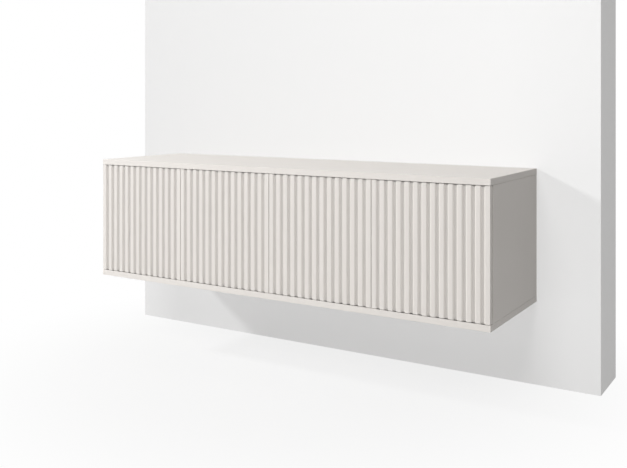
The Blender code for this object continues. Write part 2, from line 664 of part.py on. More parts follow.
def push_latch(leaf):
    """A push latch screwed under the top board, and its sprung plunger that meets the leaf."""
    width, length, height = LATCH_BODY
    ear_w, ear_l, ear_t = LATCH_EAR
    x, top = latch_x(leaf), HIGH_Z - CLEAR
    tip = leaf.y(CLEAR)
    middle = leaf.y(LATCH_SETBACK + length / 2)
    body, ears, bore, screws, plunger = (bmesh.new() for _ in range(5))
    add_box(body, (x - width / 2, middle - length / 2, top - height),
            (x + width / 2, middle + length / 2, top))
    add_box(ears, (x - ear_w / 2, middle - ear_l / 2, top - ear_t), (x + ear_w / 2, middle + ear_l / 2, top))
    add_rod(bore, (x, leaf.y(0), LATCH_Z), (x, tip + PLUNGER + CLEAR, LATCH_Z), PLUNGER_R + CLEAR, 8)
    screw, turn = screw_mesh(CLEAR + ear_t), Matrix.Rotation(math.pi, 4, "X")
    for screw_x, screw_y in latch_screw_points(leaf):
        stamp(screws, screw, Matrix.Translation((screw_x, screw_y, top - ear_t)) @ turn)
    latch = make(leaf.name + "_latch", body, "grey_plastic")
    combine(latch, make_tool(leaf.name + "_latch_ears", ears), "UNION")
    combine(latch, make_tool(leaf.name + "_latch_bore", bore), "DIFFERENCE")
    combine(latch, make_tool(leaf.name + "_latch_screws", screws), "UNION")
    add_rod(plunger, (x, tip, LATCH_Z), (x, tip + PLUNGER, LATCH_Z), PLUNGER_R, 8)
    make(leaf.name + "_plunger", plunger, "white_plastic")


def boss_points():
    y, z = BACK_Y - CLEAR - HANGER[1] / 2, HIGH_Z - CLEAR - HANGER[2] / 2
    return [(y, z - BOSS_PITCH / 2), (y, z + BOSS_PITCH / 2)]


def hangers():
    """Hangers in the upper rear corners, their hooks through the back board over the rail's lip."""
    rear, top = BACK_Y - CLEAR, HIGH_Z - CLEAR
    tip_y = BACK - RAIL_T - (RAIL_STEP - RAIL_T) / 2
    for name, side in (("left", -1), ("right", 1)):
        face = side * (INNER_X - CLEAR)
        x = face - side * HANGER[0] / 2
        body, bosses, slot = (bmesh.new() for _ in range(3))
        add_box(body, (x - HANGER[0] / 2, rear - HANGER[1], top - HANGER[2]), (x + HANGER[0] / 2, rear, top))
        for y, z in boss_points():
            add_rod(bosses, (x, y, z), (side * (INNER_X + BOSS_IN), y, z), BOSS_R, 8)
        add_box(slot, (x - HOOK_W / 2 - CLEAR, rear - HOOK_IN - CLEAR, LIP_TOP),
                (x + HOOK_W / 2 + CLEAR, rear + 0.001, LIP_TOP + HOOK_T + 2 * CLEAR))
        hanger = make(name + "_hanger", body, "white_plastic")
        combine(hanger, make_tool(name + "_hanger_bosses", bosses), "UNION")
        combine(hanger, make_tool(name + "_hanger_slot", slot), "DIFFERENCE")

        low, high, rear_y = LIP_TOP + CLEAR, LIP_TOP + CLEAR + HOOK_T, tip_y + HOOK_T / 2
        side_view = [(rear - HOOK_IN, low), (rear - HOOK_IN, high), (rear_y, high),
                     (rear_y, LIP_TOP - HOOK_DROP), (rear_y - HOOK_T, LIP_TOP - HOOK_DROP),
                     (rear_y - HOOK_T, low)]
        hook = bmesh.new()
        stamp(hook, outline_mesh([side_view], HOOK_W), Matrix.Translation((x, 0, 0)) @ SIDEWAYS)
        make(name + "_hanger_hook", hook, "steel")


def wall_rail():
    """The rail that is screwed to the wall: a flat flange, a step forward and an upright lip."""
    front, lip_back = BACK - RAIL_STEP - RAIL_T, BACK - RAIL_STEP
    step = LIP_TOP - RAIL_LIP
    section = [(front, LIP_TOP), (front, step - RAIL_T), (BACK - RAIL_T, step - RAIL_T),
               (BACK - RAIL_T, step - RAIL_T - RAIL_FLANGE), (BACK, step - RAIL_T - RAIL_FLANGE),
               (BACK, step), (lip_back, step), (lip_back, LIP_TOP)]
    bm, holes = bmesh.new(), bmesh.new()
    length = 2 * (INNER_X - RAIL_END)
    stamp(bm, outline_mesh([section], length), SIDEWAYS)
    rail = make("wall_rail", bm, "steel")
    z = step - RAIL_T - RAIL_FLANGE / 2
    first = -length / 2 + RAIL_HOLE_END
    for i in range(RAIL_HOLES):
        x = first - 2 * first * i / (RAIL_HOLES - 1)
        add_rod(holes, (x, BACK - 2 * RAIL_T, z), (x, BACK + RAIL_T, z), RAIL_HOLE_R, 8)
    combine(rail, make_tool("wall_rail_holes", holes), "DIFFERENCE")


def main():
    flat_boards()
    uprights()
    back_board()
    shelves()
    hangers()
    wall_rail()
    for leaf in LEAF_LIST:
        arm_pin = new_pivot(leaf.name + "_arm_pin", *leaf.plan([ARM_PIN_OUTER])[0])
        cup_pin = new_pivot(leaf.name + "_cup_pin", *leaf.plan([CUP_PIN_OUTER])[0], parent=arm_pin)
        inner_pin = new_pivot(leaf.name + "_inner_pin", *leaf.plan([ARM_PIN_INNER])[0])
        door_leaf(leaf, cup_pin)
        push_latch(leaf)
        for level, z in HINGES:
            hinge_cup(leaf, level, z, cup_pin)
            outer_link(leaf, level, z, arm_pin)
            inner_link(leaf, level, z, inner_pin)
            hinge_arm(leaf, level, z)


clear_scene()
CABINET = new_collection("tv_cabinet")
CUTTERS = new_collection("cutters")
main()
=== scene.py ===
"""Finishes for the wall-hung tv cabinet: ribbed door leaves, boards, cup hinges and fittings.

The file is laid out as an add-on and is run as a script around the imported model.
"""
import json
import math

import bmesh
import bpy
from bpy.props import FloatProperty, FloatVectorProperty, IntProperty, PointerProperty
from mathutils import Matrix, Vector

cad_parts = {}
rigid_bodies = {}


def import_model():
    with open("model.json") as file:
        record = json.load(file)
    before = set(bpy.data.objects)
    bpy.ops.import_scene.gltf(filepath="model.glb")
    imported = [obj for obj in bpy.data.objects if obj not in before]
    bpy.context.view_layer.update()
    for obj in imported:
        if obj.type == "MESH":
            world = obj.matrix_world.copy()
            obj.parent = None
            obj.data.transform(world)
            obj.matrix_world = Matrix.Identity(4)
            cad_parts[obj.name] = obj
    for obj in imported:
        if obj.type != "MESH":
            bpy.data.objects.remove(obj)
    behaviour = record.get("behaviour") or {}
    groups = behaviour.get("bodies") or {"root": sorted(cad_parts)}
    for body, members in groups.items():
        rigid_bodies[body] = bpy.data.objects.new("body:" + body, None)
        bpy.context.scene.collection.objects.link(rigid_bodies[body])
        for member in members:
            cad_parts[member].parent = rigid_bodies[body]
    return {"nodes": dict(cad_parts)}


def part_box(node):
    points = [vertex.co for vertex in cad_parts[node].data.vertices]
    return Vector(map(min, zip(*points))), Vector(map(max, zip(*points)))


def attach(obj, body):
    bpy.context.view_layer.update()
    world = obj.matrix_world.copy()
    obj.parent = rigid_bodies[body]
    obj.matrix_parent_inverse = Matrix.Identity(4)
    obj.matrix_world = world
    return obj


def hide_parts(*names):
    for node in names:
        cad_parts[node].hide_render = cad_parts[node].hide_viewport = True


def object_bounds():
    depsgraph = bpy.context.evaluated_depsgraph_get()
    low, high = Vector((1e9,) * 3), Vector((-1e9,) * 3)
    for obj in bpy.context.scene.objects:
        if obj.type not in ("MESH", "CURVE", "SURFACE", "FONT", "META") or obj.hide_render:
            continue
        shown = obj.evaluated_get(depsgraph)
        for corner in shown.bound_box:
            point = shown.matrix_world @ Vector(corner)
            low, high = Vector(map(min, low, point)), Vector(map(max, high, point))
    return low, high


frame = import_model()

bl_info = {
    "name": "TV cabinet",
    "version": (1, 0, 0),
    "blender": (4, 5, 0),
    "location": "View3D > Sidebar > Cabinet",
    "description": "Wall-hung tv cabinet with ribbed leaves on cup hinges",
    "category": "Object",
}

CAD_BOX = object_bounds()
LOW, HIGH = CAD_BOX
LEVELS = ("lower", "upper")
LEAVES = (1, 2, 3, 4)
CAMERA_PLACE = (1.456, -2.298, 0.602)
CLEAR = 0.0003           # gap between pieces that touch
MARGIN = 0.001           # how far a cutting shape runs past a face
BEYOND = 0.04            # half the size of a cutting shape that runs past a whole hinge arm
SCREW_LENGTH, SCREW_BORE = 0.0095, 0.0018      # depth and radius of a wood screw's bore
PEG_BORE, SHELF_PLAY = 0.0078, 0.001           # depth of a peg's hole, gap at a shelf's ends
PIN_R, LINK_HALF = 0.0010, 0.0011              # radius of a hinge's pins, half a link's width
LINK_LOW, LINK_HIGH = 0.0032, 0.0050           # an outer link's cheeks, from the hinge's mid height
INNER_LINK_HIGH = 0.0026                       # half the height of an inner link
EYE_CUP, EYE_ARM = 0.0019, 0.0022              # radii of a link's eyes
ARM_WEB, ARM_LENGTH = 0.0045, 0.044            # metal round the arm's outer pin, arm behind that pin
PLATE_B = 0.039                                # from the leaf's back face to a plate's middle
# Each adjusting screw of a hinge: name, place along the arm, radius
SET_SCREWS = (("side_screw", 0.029, 0.0027), ("depth_screw", 0.043, 0.0038))
# Plan positions (a, b): a from the cup's axis to the middle of the leaf, b into the cabinet
CUP_PIN_OUTER, CUP_PIN_INNER = (-0.0123, -0.0070), (-0.0085, -0.0070)
ARM_PIN_OUTER, ARM_PIN_INNER = (0.0040, 0.0160), (0.0124, 0.0053)
OUTER_CUP_BENDS = ((0.0043, -0.0011), (0.0088, -0.0012))
OUTER_ARM_BENDS = ((-0.0043, -0.0210), (-0.0025, -0.0160))
INNER_CUP_BENDS = ((0.0070, -0.0002), (0.0120, 0.0010))
INNER_ARM_BENDS = ((-0.0044, -0.0068),)
# Width of a latch, from its axis to a screw, thickness of the screw ears
LATCH_WIDTH, LATCH_SCREW, LATCH_EAR = 0.016, 0.013, 0.0025
# Width of a hanger, from its lower and upper end to a screw
HANGER_WIDTH, HANGER_SCREW_LOW, HANGER_SCREW_HIGH = 0.018, 0.012, 0.014
HOOK_SHEET, RAIL_SHEET, RAIL_STEP = 0.0030, 0.0020, 0.012
RAIL_HOLES, RAIL_HOLE_R = 5, 0.0035
moved = Matrix.Translation
Z_TO_Y = Matrix.Rotation(-math.pi / 2, 4, "X")
Y_TO_Z = Matrix.Rotation(math.pi / 2, 4, "X")
UPSIDE_DOWN = Matrix.Rotation(math.pi, 4, "X")
# Turns a drawing so that its x and y run along world Y and Z
SIDEWAYS = Matrix(((0, 0, 1, 0), (1, 0, 0, 0), (0, 1, 0, 0), (0, 0, 0, 1)))


def metres(name, description, default):
    return FloatProperty(name=name, description=description, default=default, unit="LENGTH",
                         precision=4, min=0.0)


def pair(name, description, default):
    return FloatVectorProperty(name=name, description=description, default=default, unit="LENGTH",
                               precision=4, size=2)


def paint(name, description, default):
    return FloatVectorProperty(name=name, description=description, default=default, subtype="COLOR",
                               size=3, min=0.0, max=1.0)


def watts(name, description, default):
    return FloatProperty(name=name, description=description, default=default, unit="POWER", min=0.0)


class CabinetFinishes(bpy.types.PropertyGroup):
    lacquer: paint("Lacquer", "Colour of the leaves and the flat boards", (0.794, 0.760, 0.726))
    inside: paint("Inside", "Colour of the uprights, the partition and the shelves",
                  (0.794, 0.754, 0.716))
    hardboard: paint("Back board", "Colour of the back board's painted face", (0.730, 0.690, 0.645))
    steel: paint("Plated steel", "Colour of the hinges, screws and rail", (0.640, 0.635, 0.620))
    zinc: paint("Cast zinc", "Colour of the cam locks", (0.480, 0.480, 0.475))
    grey_plastic: paint("Grey plastic", "Colour of the latch housings", (0.480, 0.480, 0.475))
    white_plastic: paint("White plastic", "Colour of the hangers and plungers", (0.780, 0.780, 0.765))
    wood: paint("Dowel wood", "Colour of the dowels", (0.620, 0.430, 0.260))
    rubber: paint("Rubber", "Colour of the plungers' tips", (0.300, 0.300, 0.300))


class CabinetLeaves(bpy.types.PropertyGroup):
    grooves: IntProperty(name="Grooves", description="Grooves milled in each leaf", default=13, min=1)
    depth: metres("Groove depth", "Depth of a groove", 0.0043)
    mouth: metres("Groove mouth", "Width of a groove at the face", 0.0140)
    floor: metres("Groove floor", "Width of a groove at its floor", 0.0054)
    edge_rib: metres("Edge rib", "Flat rib at both edges of a leaf", 0.0136)
    rib_radius: metres("Rib radius", "Radius on the edges of the ribs", 0.0005)
    edge_radius: metres("Edge radius", "Radius on the leaf's own edges", 0.0005)
    # Painted shade: how light the lacquer is painted at a groove's floor, standing in for the shade in
    # the grooves
    groove_shade: FloatProperty(name="Groove shade", default=0.86, min=0.0, max=1.0,
                                description="How light the lacquer is at the floor of a groove")


class CabinetBoards(bpy.types.PropertyGroup):
    thickness: metres("Thickness", "Thickness of the boards and shelves", 0.018)
    edge_radius: metres("Edge radius", "Radius on the boards' long edges", 0.0006)
    cam_radius: metres("Cam radius", "Radius of a cam lock", 0.0075)
    cam_depth: metres("Cam depth", "Depth of a cam lock", 0.0125)
    cam_from_end: metres("Cam from end", "From an upright's end to a cam's middle", 0.024)
    cam_rows: pair("Cam rows", "From the uprights' front edges to the cams", (0.045, 0.270))
    dowel_rows: pair("Dowel rows", "From the uprights' front edges to the dowels", (0.095, 0.230))
    bolt_radius: metres("Bolt radius", "Radius of a cam bolt", 0.0030)
    dowel_radius: metres("Dowel radius", "Radius of a dowel", 0.0040)
    peg_radius: metres("Peg radius", "Radius of a shelf peg", 0.0025)
    peg_pitch: metres("Peg pitch", "Height between peg holes", 0.032)
    peg_rows: pair("Peg rows", "From the uprights' front edges to the pegs", (0.070, 0.300))
    cable_hole_radius: metres("Cable hole", "Radius of a cable hole in the back board", 0.030)
    cable_hole_height: metres("Cable hole height", "Height of a cable hole's middle", 0.110)


class CabinetHinges(bpy.types.PropertyGroup):
    cup_rim: metres("Cup rim", "From the leaf's hinge edge to the cup", 0.0040)
    cup_radius: metres("Cup radius", "Radius of the hinge's cup", 0.0175)
    cup_wall: metres("Cup wall", "Thickness of the cup's wall", 0.0012)
    cup_depth: metres("Cup depth", "Depth of the cup in the leaf", 0.0115)
    cup_floor: metres("Cup floor", "Thickness of the cup's floor", 0.0010)
    flange: metres("Flange", "Thickness of the cup's flange", 0.0010)
    ear_inset: metres("Ear inset", "From the cup's rim to the middle of the ears", 0.0080)
    ear_width: metres("Ear width", "Width of the flange's ears", 0.0130)
    ear_screw: metres("Ear screw", "From the cup's rim to an ear's screw", 0.0050)
    plate: metres("Plate", "Thickness of the mounting plate", 0.0030)
    plate_screws: metres("Plate screws", "Between a plate's two screws", 0.032)
    screw_radius: metres("Screw head radius", "Radius of a screw's head", 0.0034)
    screw_head: metres("Screw head", "Height of a screw's head", 0.0014)
    screw_shank: metres("Screw shank", "Radius of a screw's shank", 0.0015)


class CabinetStage(bpy.types.PropertyGroup):
    lens: FloatProperty(name="Lens", description="Focal length of the camera", default=48.24,
                        unit="CAMERA")
    heading: FloatProperty(name="Heading", description="Camera's turn to the left of the wall's normal",
                           default=math.radians(31.69), subtype="ANGLE")
    shift: FloatProperty(name="Shift", description="Camera's vertical shift", default=-0.212)
    side_shift: FloatProperty(name="Side shift", description="Camera's shift to the right",
                              default=-0.0006, precision=4)
    floor_drop: metres("Floor drop", "From the cabinet's underside to the floor", 0.250)
    lamp_distance: metres("Lamp distance", "From the cabinet to the lamps", 6.0)
    lamp_size: metres("Lamp size", "Diameter of the soft lamps", 2.5)
    left_size: metres("Left lamp size", "Diameter of the lamp at the left", 0.6)
    left_power: watts("Left lamp", "Power of the lamp that grazes the front from the left", 256.0)
    top_power: watts("Top lamp", "Power of the lamp above the camera", 146.0)
    back_power: watts("Back lamp", "Power of the lamp behind the cabinet", 110.0)
    room_light: FloatProperty(name="Room light", description="Level of the light from all round",
                              default=0.26, min=0.0)


def sizes(group):
    return getattr(bpy.context.scene, "cabinet_" + group)


# Outlines and meshes

def arc(centre, radius, start, end, steps):
    turns = [start + (end - start) * i / steps for i in range(steps + 1)]
    return [(centre[0] + radius * math.cos(t), centre[1] + radius * math.sin(t)) for t in turns]


def circle(radius, sides):
    return arc((0.0, 0.0), radius, 0.0, 2 * math.pi, sides)[:-1]


def rounded(points, radii, steps):
    """A closed outline whose corners are replaced by arcs; one radius, or one for each corner."""
    if not isinstance(radii, (list, tuple)):
        radii = [radii] * len(points)
    made = []
    for i, (point, radius) in enumerate(zip(points, radii)):
        here = Vector(point)
        back = (Vector(points[i - 1]) - here).normalized()
        ahead = (Vector(points[(i + 1) % len(points)]) - here).normalized()
        half = back.angle(ahead) / 2
        if radius <= 0.0 or half > math.radians(89.0):
            made.append(tuple(here))
            continue
        middle = here + (back + ahead).normalized() * radius / math.sin(half)
        first = here + back * radius / math.tan(half) - middle
        sweep = (math.pi - 2 * half) * (1.0 if back.cross(ahead) < 0 else -1.0)
        for step in range(steps + 1):
            c, s = math.cos(sweep * step / steps), math.sin(sweep * step / steps)
            made.append((middle.x + first.x * c - first.y * s, middle.y + first.x * s + first.y * c))
    return made


def oblong(low_x, low_y, high_x, high_y):
    return [(low_x, low_y), (high_x, low_y), (high_x, high_y), (low_x, high_y)]


def area(points):
    return sum(a[0] * b[1] - b[0] * a[1] for a, b in zip(points, points[1:] + points[:1])) / 2


def inset(points, distance):
    """The outline moved inwards by a distance; it runs anticlockwise."""
    made = []
    for i, point in enumerate(points):
        here = Vector(point)
        before = (here - Vector(points[i - 1])).normalized()
        after = (Vector(points[(i + 1) % len(points)]) - here).normalized()
        normal = Vector((-before.y - after.y, before.x + after.x)).normalized()
        across = Vector((-after.y, after.x))
        made.append(tuple(here + normal * distance / max(normal.dot(across), 0.3)))
    return made


def drafts(count):
    return [bmesh.new() for _ in range(count)]


def add_prism(bm, points, low, high, chamfer=0.0, place=Matrix()):
    """A closed outline in x, y given height along z, with its end edges chamfered in two steps."""
    if area(points) < 0:
        points = points[::-1]
    levels = [(points, low), (points, high)]
    if chamfer > 0.0:
        first = chamfer * 0.3
        small, half = inset(points, chamfer), inset(points, first)
        levels = [(small, low), (half, low + first), (points, low + chamfer),
                  (points, high - chamfer), (half, high - first), (small, high)]
    rings = [[bm.verts.new(place @ Vector((x, y, z))) for x, y in ring] for ring, z in levels]
    for lower, upper in zip(rings, rings[1:]):
        for i in range(len(lower)):
            j = (i + 1) % len(lower)
            bm.faces.new((lower[i], lower[j], upper[j], upper[i]))
    bm.faces.new(rings[0][::-1])
    bm.faces.new(rings[-1])


def add_turned(bm, profile, sides, place=Matrix()):
    """A profile of (radius, height) points turned about z; it starts and ends on the axis."""
    rings = []
    for radius, height in profile:
        if radius <= 0.0:
            rings.append([bm.verts.new(place @ Vector((0.0, 0.0, height)))] * sides)
        else:
            rings.append([bm.verts.new(place @ Vector((x, y, height)))
                          for x, y in circle(radius, sides)])
    for upper, lower in zip(rings, rings[1:]):
        for i in range(sides):
            j = (i + 1) % sides
            corners = list(dict.fromkeys((upper[i], lower[i], lower[j], upper[j])))
            if len(corners) > 2:
                bm.faces.new(corners)


def add_box(bm, corner, other, radius=0.0, steps=3):
    """A box between two opposite corners, in any order, with its edges rounded."""
    low, high = (Vector([pick(ends) for ends in zip(corner, other)]) for pick in (min, max))
    place = moved((low + high) / 2) @ Matrix.Diagonal((*(high - low), 1.0))
    made = bmesh.ops.create_cube(bm, size=1.0, matrix=place)
    if radius > 0.0:
        edges = list({edge for vert in made["verts"] for edge in vert.link_edges})
        bmesh.ops.bevel(bm, geom=edges, offset=radius, segments=steps, profile=0.5, affect="EDGES")


def add_rod(bm, start, end, radius, sides=24):
    start, end = Vector(start), Vector(end)
    place = moved(start) @ (end - start).to_track_quat("Z", "Y").to_matrix().to_4x4()
    add_prism(bm, circle(radius, sides), 0.0, (end - start).length, 0.0, place)


def mesh_from(bm, name):
    bmesh.ops.recalc_face_normals(bm, faces=bm.faces)
    mesh = bpy.data.meshes.new(name)
    bm.to_mesh(mesh)
    bm.free()
    return mesh


def cut(mesh, steps):
    """The mesh after boolean steps: a bmesh to take away, or (operation, bmesh)."""
    scene = bpy.context.scene.collection.objects
    target = bpy.data.objects.new(mesh.name, mesh)
    scene.link(target)
    helpers = []
    for step in steps:
        operation, bm = step if isinstance(step, tuple) else ("DIFFERENCE", step)
        helper = bpy.data.objects.new("tool", mesh_from(bm, "tool"))
        scene.link(helper)
        helpers.append(helper)
        modifier = target.modifiers.new(operation.lower(), "BOOLEAN")
        modifier.operation, modifier.solver, modifier.object = operation, "EXACT", helper
    bpy.context.view_layer.update()
    made = bpy.data.meshes.new_from_object(target.evaluated_get(bpy.context.evaluated_depsgraph_get()))
    made.name = mesh.name
    for used in (*helpers, target):
        spare = used.data
        bpy.data.objects.remove(used, do_unlink=True)
        bpy.data.meshes.remove(spare)
    if not made.polygons:
        raise RuntimeError(made.name + " came out of its booleans with no faces")
    return made


def built(name, bm, *steps, angle=30.0):
    """A bmesh as a mesh, after its boolean steps, shaded smooth up to an angle in degrees."""
    mesh = mesh_from(bm, name)
    if steps:
        mesh = cut(mesh, steps)
    mesh.shade_smooth()
    mesh.set_sharp_from_angle(angle=math.radians(angle))
    return mesh


def place_piece(name, mesh, look, slot, where, nodes=(), body="cabinet"):
    """A finished piece that rides on a body, takes a finish and stands for CAD nodes."""
    piece = bpy.data.objects.new(name, mesh)
    bpy.context.scene.collection.objects.link(piece)
    piece.matrix_world = where
    if not mesh.materials:
        mesh.materials.append(finish(look))
    piece.modifiers.new("weighted_normals", "WEIGHTED_NORMAL").keep_sharp = True
    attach(piece, body)
    if nodes:
        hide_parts(*nodes)


def place_whole(node, mesh, look, slot):
    """The finished form of one node of the cabinet."""
    place_piece(node + "_finished", mesh, look, slot, centred(mesh), (node,))


def centred(mesh):
    """Moves a mesh so that its middle is its origin, and returns the way back."""
    low, high = (Vector([pick(v.co[i] for v in mesh.vertices) for i in range(3)]) for pick in (min, max))
    middle = (low + high) / 2
    mesh.transform(moved(-middle))
    return moved(middle)


def middle_of(node):
    low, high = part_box(node)
    return (low + high) / 2


# Materials

def add_node(tree, kind, place, values=None, **settings):
    """A shader node with its settings and the values of its free inputs."""
    made = tree.nodes.new(kind if kind.startswith("Node") else "ShaderNode" + kind)
    made.location = place
    for name, value in settings.items():
        setattr(made, name, value)
    for socket, value in (values or {}).items():
        made.inputs[socket].default_value = value
    return made


def math_node(tree, operation, place, values=None):
    return add_node(tree, "Math", place, values, operation=operation)


def wire(tree, *links):
    """Links, each given as a node, its output, the next node and its input."""
    for source, output, target, socket in links:
        tree.links.new(source.outputs[output], target.inputs[socket])


def new_material(name):
    material = bpy.data.materials.new(name)
    material.use_nodes = True
    return material, material.node_tree, material.node_tree.nodes["Principled BSDF"]


def grain_group():
    """Fine grain and slow mottling: a varied colour, a varied roughness and a height."""
    group = bpy.data.node_groups.get("fine_grain")
    if group:
        return group
    group = bpy.data.node_groups.new("fine_grain", "ShaderNodeTree")
    inputs = (("Colour", "Color", (0.8, 0.8, 0.8, 1.0)), ("Mottle", "Float", 0.02),
              ("Grain Size", "Float", 0.001), ("Roughness", "Float", 0.5),
              ("Roughness Range", "Float", 0.05), ("Stretch", "Vector", (1.0, 1.0, 1.0)))
    for name, kind, value in inputs:
        socket = group.interface.new_socket(name, in_out="INPUT", socket_type="NodeSocket" + kind)
        socket.default_value = value
    for name, kind in (("Colour", "Color"), ("Roughness", "Float"), ("Height", "Float")):
        group.interface.new_socket(name, in_out="OUTPUT", socket_type="NodeSocket" + kind)
    start = add_node(group, "NodeGroupInput", (-900, 0))
    end = add_node(group, "NodeGroupOutput", (700, 0))
    where = add_node(group, "TexCoord", (-900, -300))
    stretch = add_node(group, "VectorMath", (-700, -250), operation="MULTIPLY")
    per_metre = math_node(group, "DIVIDE", (-700, -50), {0: 1.0})
    grain = add_node(group, "TexNoise", (-450, -50), {"Detail": 2.0})
    mottle = add_node(group, "TexNoise", (-450, -350), {"Scale": 7.0, "Detail": 3.0})
    both = math_node(group, "ADD", (-200, -200))
    shade = add_node(group, "MapRange", (0, -200), {"From Min": 0.6, "From Max": 1.4})
    low = math_node(group, "SUBTRACT", (-200, 50), {0: 1.0})
    high = math_node(group, "ADD", (-200, 200), {0: 1.0})
    tint = add_node(group, "VectorMath", (300, 150), operation="SCALE")
    swing = math_node(group, "SUBTRACT", (100, -400), {1: 0.5})
    rough = math_node(group, "MULTIPLY_ADD", (400, -150))
    wire(group, (where, "Object", stretch, 0), (start, "Stretch", stretch, 1),
         (start, "Grain Size", per_metre, 1), (stretch, 0, grain, "Vector"),
         (per_metre, 0, grain, "Scale"), (stretch, 0, mottle, "Vector"),
         (grain, "Fac", both, 0), (mottle, "Fac", both, 1),
         (both, 0, shade, "Value"), (start, "Mottle", low, 1), (start, "Mottle", high, 1),
         (low, 0, shade, "To Min"), (high, 0, shade, "To Max"), (start, "Colour", tint, 0),
         (shade, 0, tint, "Scale"), (mottle, "Fac", swing, 0), (swing, 0, rough, 0),
         (start, "Roughness Range", rough, 1), (start, "Roughness", rough, 2), (tint, 0, end, "Colour"),
         (rough, 0, end, "Roughness"), (grain, "Fac", end, "Height"))
    return group


FITTING = ("plated_steel", "zinc_steel")     # finish and slot of the steel fittings
FINISHES = {
    # name: colour property, mottle, grain size, roughness, its range, bump distance, metallic
    "matt_lacquer": ("lacquer", 0.010, 0.0012, 0.48, 0.06, 0.00002, 0.0),
    "inside_lacquer": ("inside", 0.012, 0.0012, 0.52, 0.06, 0.00002, 0.0),
    "painted_hardboard": ("hardboard", 0.040, 0.0016, 0.70, 0.10, 0.00006, 0.0),
    "plated_steel": ("steel", 0.030, 0.0006, 0.28, 0.12, 0.000004, 1.0),
    "cast_zinc": ("zinc", 0.060, 0.0008, 0.45, 0.15, 0.00002, 1.0),
    "grey_moulding": ("grey_plastic", 0.020, 0.0005, 0.50, 0.08, 0.00001, 0.0),
    "white_moulding": ("white_plastic", 0.015, 0.0005, 0.42, 0.08, 0.00001, 0.0),
    "dowel_wood": ("wood", 0.150, 0.0010, 0.65, 0.10, 0.00004, 0.0),
    "soft_tip": ("rubber", 0.030, 0.0004, 0.75, 0.05, 0.00001, 0.0),
}


def finish(name):
    """A procedural material with fine grain, slow mottling and a little relief."""
    if name in bpy.data.materials:
        return bpy.data.materials[name]
    colour, mottle, grain, roughness, spread, relief, metallic = FINISHES[name]
    material, tree, surface = new_material(name)
    surface.inputs["Metallic"].default_value = metallic
    values = {"Colour": (*getattr(sizes("finishes"), colour), 1.0), "Mottle": mottle,
              "Grain Size": grain, "Roughness": roughness, "Roughness Range": spread}
    group = add_node(tree, "Group", (-500, 100), values, node_tree=grain_group())
    bump = add_node(tree, "Bump", (-250, -200), {"Strength": 0.5, "Distance": relief})
    wire(tree, (group, "Colour", surface, "Base Color"), (group, "Roughness", surface, "Roughness"),
         (group, "Height", bump, "Height"), (bump, "Normal", surface, "Normal"))
    return material


def groove_lacquer():
    """The leaves' lacquer with painted shade: darker the deeper a groove is milled, standing in for the
    shade that falls in the grooves.
    """
    name = "groove_lacquer"
    if name in bpy.data.materials:
        return bpy.data.materials[name]
    material = finish("matt_lacquer").copy()
    material.name = name
    leaf, (low, high) = sizes("leaves"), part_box("door_1")
    front = (low.y - high.y) / 2
    tree = material.node_tree
    where = add_node(tree, "TexCoord", (-900, 500))
    split = add_node(tree, "SeparateXYZ", (-700, 500))
    # Painted shade: full colour halfway down a groove, darkening to the painted shade at its floor
    shade = add_node(tree, "MapRange", (-500, 500),
                     {"From Min": front + leaf.depth / 2, "From Max": front + leaf.depth,
                      "To Min": 1.0, "To Max": leaf.groove_shade})
    tint = add_node(tree, "VectorMath", (-200, 400), operation="SCALE")
    wire(tree, (where, "Object", split, 0), (split, "Y", shade, "Value"),
         (tree.nodes["Group"], "Colour", tint, 0), (shade, 0, tint, "Scale"),
         (tint, 0, tree.nodes["Principled BSDF"], "Base Color"))
    return material


# Leaves

class Hinge:
    """A hinge's plan: a runs from the cup's axis to the middle of the leaf, b into the cabinet."""

    def __init__(self, number, level):
        self.name, self.way = f"door_{number}_{level}_", 1 if number % 2 else -1
        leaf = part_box(f"door_{number}")
        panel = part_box({1: "left_side", 4: "right_side"}.get(number, "centre_partition"))
        edge, face = (leaf[0].x, panel[1].x) if self.way == 1 else (leaf[1].x, panel[0].x)
        hinges = sizes("hinges")
        self.place = Vector((edge + self.way * (hinges.cup_rim + hinges.cup_radius), leaf[1].y,
                             sum(corner.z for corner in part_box(self.name + "cup")) / 2))
        self.panel_a = (face - self.place.x) * self.way

    def at(self, a=0.0, b=0.0, z=0.0):
        return self.place + Vector((self.way * a, b, z))


def plan(way, points):
    return [(way * a, b) for a, b in points]


def leaf_outline(low_x, high_x, front, back):
    """A leaf's section seen from above, with trapezoid grooves and every corner rounded."""
    leaf = sizes("leaves")
    slope = (leaf.mouth - leaf.floor) / 2
    pitch = (high_x - low_x - 2 * leaf.edge_rib - leaf.mouth) / (leaf.grooves - 1)
    points, radii = [(high_x, back), (low_x, back), (low_x, front)], [leaf.edge_radius] * 3
    for i in range(leaf.grooves):
        start, floor = low_x + leaf.edge_rib + i * pitch, front + leaf.depth
        points += [(start, front), (start + slope, floor), (start + leaf.mouth - slope, floor),
                   (start + leaf.mouth, front)]
        radii += [leaf.rib_radius] * 4
    return rounded(points + [(high_x, front)], radii + [leaf.edge_radius], 5)


